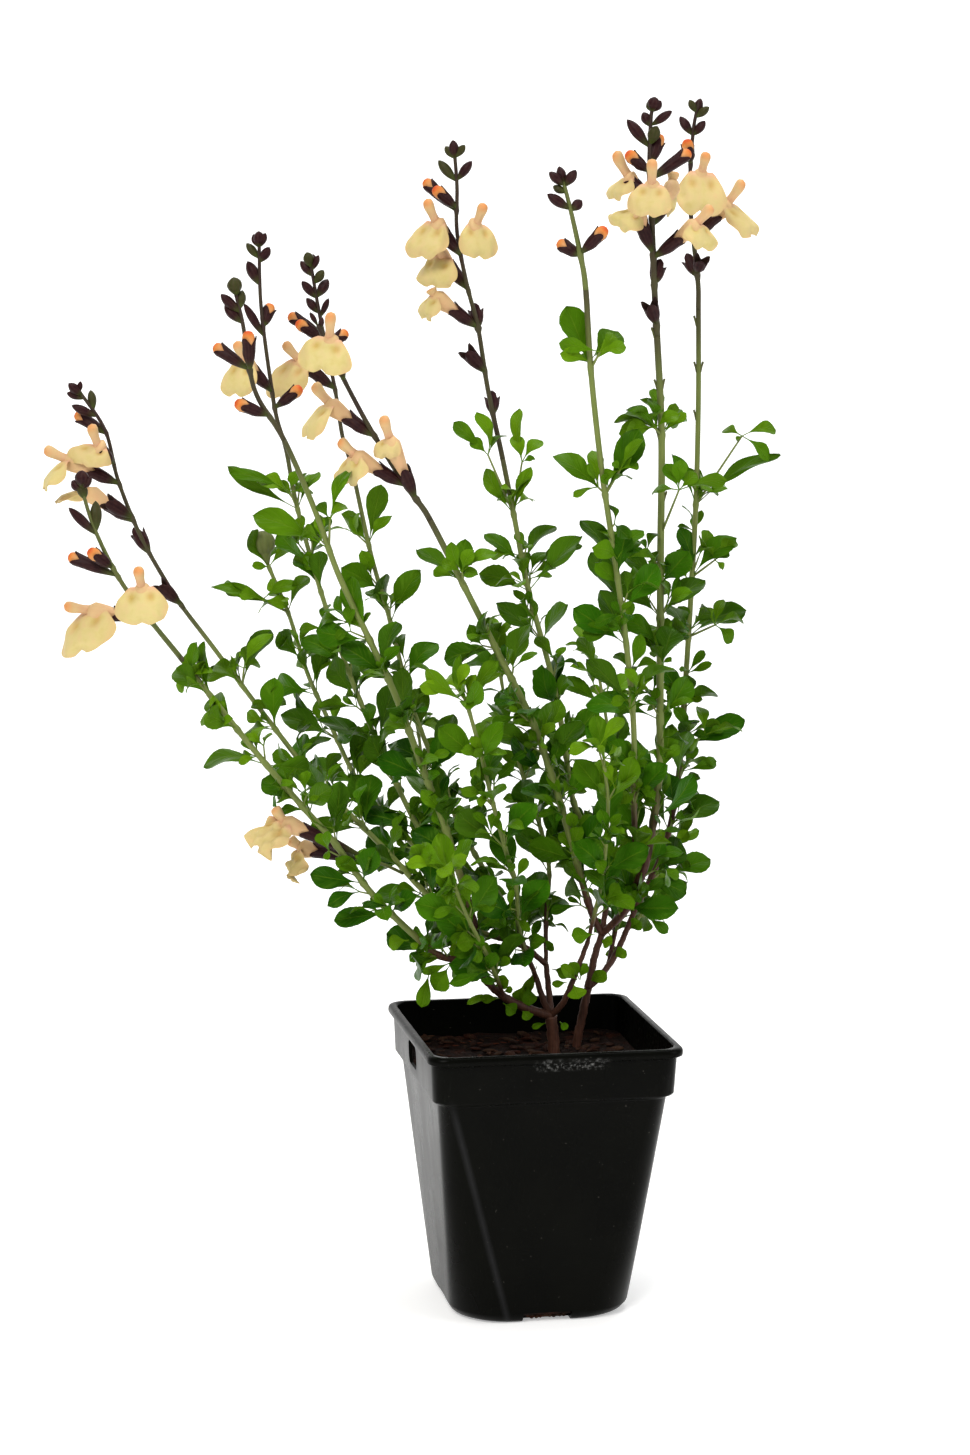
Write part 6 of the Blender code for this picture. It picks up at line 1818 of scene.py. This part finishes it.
def mesh_from_cuts(body, boxes):
    """Cuts rounded boxes from a body and keeps the result as its mesh."""
    cutters = bpy.data.collections.new("pot_cutters")
    bpy.context.scene.collection.children.link(cutters)
    for middle, size, round_ in boxes:
        shape = bmesh.new()
        bmesh.ops.create_cube(shape, size=1)
        bmesh.ops.transform(shape, matrix=Matrix.Diagonal((*size, 1)), verts=shape.verts)
        if round_:
            thin = int(np.argmin(size))
            spans = ((edge, edge.verts[0].co - edge.verts[1].co) for edge in shape.edges)
            edges = [edge for edge, span in spans if abs(span[thin]) > size[thin] / 2]
            bmesh.ops.bevel(shape, geom=edges, offset=round_, segments=5, profile=0.5, affect="EDGES")
        bmesh.ops.translate(shape, vec=middle, verts=shape.verts)
        mesh = bpy.data.meshes.new("cutter")
        shape.to_mesh(mesh)
        shape.free()
        cutters.objects.link(bpy.data.objects.new("cutter", mesh))
    cut = body.modifiers.new("cut", "BOOLEAN")
    cut.operation, cut.operand_type, cut.collection, cut.solver = "DIFFERENCE", "COLLECTION", cutters, "EXACT"
    bpy.context.view_layer.update()
    mesh = bpy.data.meshes.new_from_object(body.evaluated_get(bpy.context.evaluated_depsgraph_get()))
    body.modifiers.clear()
    body.data = mesh
    mesh.set_sharp_from_angle(angle=math.radians(35))
    for cutter in list(cutters.objects):
        bpy.data.objects.remove(cutter)
    bpy.data.collections.remove(cutters)


def make_stage(lamps):
    """A pale floor that runs level, up a quarter of a circle and on as an upright backdrop, lights and camera."""
    back = np.linspace(0, 1, 24)[:, None]
    turn = np.clip((back - 0.4) / 0.3, 0, 1) * math.pi / 2
    y = np.interp(back, (0, 0.4), (-3.0, 1.6)) + FLOOR_CURVE * np.sin(turn)
    z = FLOOR_CURVE * (1 - np.cos(turn)) + np.clip(back - 0.7, 0, 1) * 6
    skin = Skin()
    skin.add(triples(np.linspace(-4, 4, 9), y, z) - (0, 0, FLOOR_SUNK), (0, 0, 0))
    skin.build("floor", floor_finish())
    for name, place, size, power, warm in LIGHTS:
        light = bpy.data.lights.new(name, "AREA")
        light.shape, light.size, light.energy, light.color = "DISK", size, power * lamps, warm
        aim = Vector(LIGHTS_AIM) - Vector(place)
        turn = aim.to_track_quat("-Z", "Y").to_matrix().to_4x4()
        linked(name, light).matrix_world = Matrix.Translation(place) @ turn
    bpy.context.scene.view_settings.view_transform = "Standard"
    world = bpy.data.worlds.new("studio")
    world.use_nodes = True
    sky = world.node_tree.nodes["Background"].inputs
    sky["Color"].default_value, sky["Strength"].default_value = SKY, SKY_STRENGTH
    bpy.context.scene.world = world
    lens = bpy.data.cameras.new("camera")
    lens.sensor_fit, lens.sensor_height = "VERTICAL", SENSOR
    lens.lens = SENSOR * VIEW_FOCAL / (2 * VIEW_MIDDLE[1])
    camera = linked("camera", lens)
    camera.matrix_world = Matrix.Translation(EYE) @ Matrix((RIGHT, UP, -FORWARD)).transposed().to_4x4()
    bpy.context.scene.camera = camera


# Soft lights: name, place, width in metres, power in watts and colour.
LIGHTS = [
    ("key", (-1.6, -2.4, 2.6), 1.6, 90.0, (1.0, 0.98, 0.95)),
    ("fill", (2.4, -1.6, 1.6), 1.8, 32.0, (0.97, 0.98, 1.0)),
    ("top", (0.2, 0.3, 2.8), 1.6, 42.0, (1.0, 1.0, 1.0)),
]
LIGHTS_AIM = (0, 0, 0.3)
SKY = (1.0, 1.0, 1.0, 1.0)
SKY_STRENGTH = 0.32
SENSOR = 36.0  # height of the camera's sensor in mm
FLOOR_CURVE = 0.8
FLOOR_SUNK = 0.0002


def whole(name, description, default, least, most):
    """A whole number that the user can change."""
    return bpy.props.IntProperty(name=name, description=description, default=default, min=least, max=most)


def amount(name, description, default, **rest):
    """A length or share that the user can change."""
    return bpy.props.FloatProperty(name=name, description=description, default=default, **rest)


def tone(name, description, default):
    """A colour that the user can change."""
    limits = {"subtype": "COLOR", "min": 0.0, "max": 1.0}
    return bpy.props.FloatVectorProperty(name=name, description=description, default=default, **limits)


class SalviaSettings(bpy.types.PropertyGroup):
    """Settings of the salvia that can be changed before it is built."""

    axil_leaves: whole("Young leaves", "Most young leaves in the axil of each leaf", 3, 1, 8)
    calyx_wide: amount(
        "Calyx width", "Width of an open calyx at its mouth", 0.0076, min=0.003, max=0.012, unit="LENGTH"
    )
    chips: whole("Bark chips", "Number of loose bark chips on the soil", 420, 0, 2000)
    chip_long: amount(
        "Chip length", "Length of the longest bark chip", 0.0097, min=0.003, max=0.02, unit="LENGTH"
    )
    lamps: amount(
        "Lamps", "Share of their plain power at which the studio lamps burn", 1.0, min=0.0, subtype="FACTOR"
    )
    leaf_dark: tone("Dark leaf", "Green of the oldest leaves", (0.003, 0.036, 0.001))
    leaf_light: tone("Light leaf", "Green of full-grown leaves in good light", (0.026, 0.112, 0.002))
    leaf_young: tone("Young leaf", "Yellow green of the newest leaves", (0.115, 0.235, 0.004))
    petal_warm: tone("Warm petal", "Deeper cream of the flowers", (0.540, 0.425, 0.140))
    petal_light: tone("Light petal", "Palest cream of the flowers", (0.640, 0.570, 0.270))
    petal_tip: tone("Petal tip", "Orange of the tips that are about to open", (0.620, 0.170, 0.016))
    calyx_dark: tone("Dark calyx", "Deepest maroon of the calyces", (0.009, 0.002, 0.003))
    calyx_light: tone("Light calyx", "Palest maroon of the calyces", (0.040, 0.009, 0.012))
    pot_colour: tone("Pot", "Greyest tone of the black pot", (0.0030, 0.0031, 0.0020))


class SALVIA_OT_pot(bpy.types.Operator):
    """Build the moulded pot"""

    bl_idname = "salvia.pot"
    bl_label = "Pot"

    def execute(self, context):
        make_pot_skin(pot_finish(context.scene.salvia))
        return {"FINISHED"}


class SALVIA_OT_soil(bpy.types.Operator):
    """Build the soil and its loose chips of bark"""

    bl_idname = "salvia.soil"
    bl_label = "Soil"

    def execute(self, context):
        paint = soil_finish()
        make_soil_skin(paint, context.scene.salvia.chips, context.scene.salvia.chip_long)
        make_drain_crumbs(paint)
        return {"FINISHED"}


class SALVIA_OT_crowns(bpy.types.Operator):
    """Build the two woody feet of the plant"""

    bl_idname = "salvia.crowns"
    bl_label = "Woody crowns"

    def execute(self, context):
        bark = stem_finish()
        for crown in ("crown_left", "crown_right"):
            make_crown(crown, bark)
        make_foot_leaves(leaf_finish(context.scene.salvia))
        return {"FINISHED"}


class SALVIA_OT_stems(bpy.types.Operator):
    """Build the leafy stems"""

    bl_idname = "salvia.stems"
    bl_label = "Leafy stems"

    def execute(self, context):
        looks = context.scene.salvia
        paints = stem_finish(), leaf_finish(looks)
        for stem in STEMS:
            if stem != "low_left":
                make_leafy_stem(stem, looks.axil_leaves, *paints)
        return {"FINISHED"}


class SALVIA_OT_spikes(bpy.types.Operator):
    """Build the flower spikes with their calyces and buds"""

    bl_idname = "salvia.spikes"
    bl_label = "Flower spikes"

    def execute(self, context):
        looks = context.scene.salvia
        paints = stem_finish(), calyx_finish(looks), petal_finish(looks)
        for stem, plan in STEMS.items():
            if plan.spike:
                make_spike(stem, looks.calyx_wide, *paints)
        return {"FINISHED"}


class SALVIA_OT_flowers(bpy.types.Operator):
    """Build the open corollas"""

    bl_idname = "salvia.flowers"
    bl_label = "Flowers"

    def execute(self, context):
        paint = petal_finish(context.scene.salvia)
        for flower in place_flowers():
            make_flower(flower, paint)
        return {"FINISHED"}


class SALVIA_OT_stage(bpy.types.Operator):
    """Build the floor, the lights and the camera"""

    bl_idname = "salvia.stage"
    bl_label = "Studio"

    def execute(self, context):
        make_stage(context.scene.salvia.lamps)
        return {"FINISHED"}


PIECES = (
    SALVIA_OT_pot, SALVIA_OT_soil, SALVIA_OT_crowns, SALVIA_OT_stems, SALVIA_OT_spikes, SALVIA_OT_flowers,
    SALVIA_OT_stage,
)


class SALVIA_PT_panel(bpy.types.Panel):
    """One button for each part of the salvia"""

    bl_idname = "SALVIA_PT_panel"
    bl_label = "Potted salvia"
    bl_space_type = "VIEW_3D"
    bl_region_type = "UI"
    bl_category = "Salvia"

    def draw(self, context):
        for key in SalviaSettings.__annotations__:
            self.layout.prop(context.scene.salvia, key)
        for piece in PIECES:
            self.layout.operator(piece.bl_idname)


CLASSES = (SalviaSettings, *PIECES, SALVIA_PT_panel)


def register():
    """Makes the settings, the operators and the panel known to Blender."""
    for kind in CLASSES:
        bpy.utils.register_class(kind)
    bpy.types.Scene.salvia = bpy.props.PointerProperty(type=SalviaSettings)


def unregister():
    """Takes them away again."""
    del bpy.types.Scene.salvia
    for kind in reversed(CLASSES):
        bpy.utils.unregister_class(kind)


def main():
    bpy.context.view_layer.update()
    register()
    for piece in PIECES:
        getattr(bpy.ops.salvia, piece.bl_idname.split(".")[1])()


if __name__ == "__main__":
    main()
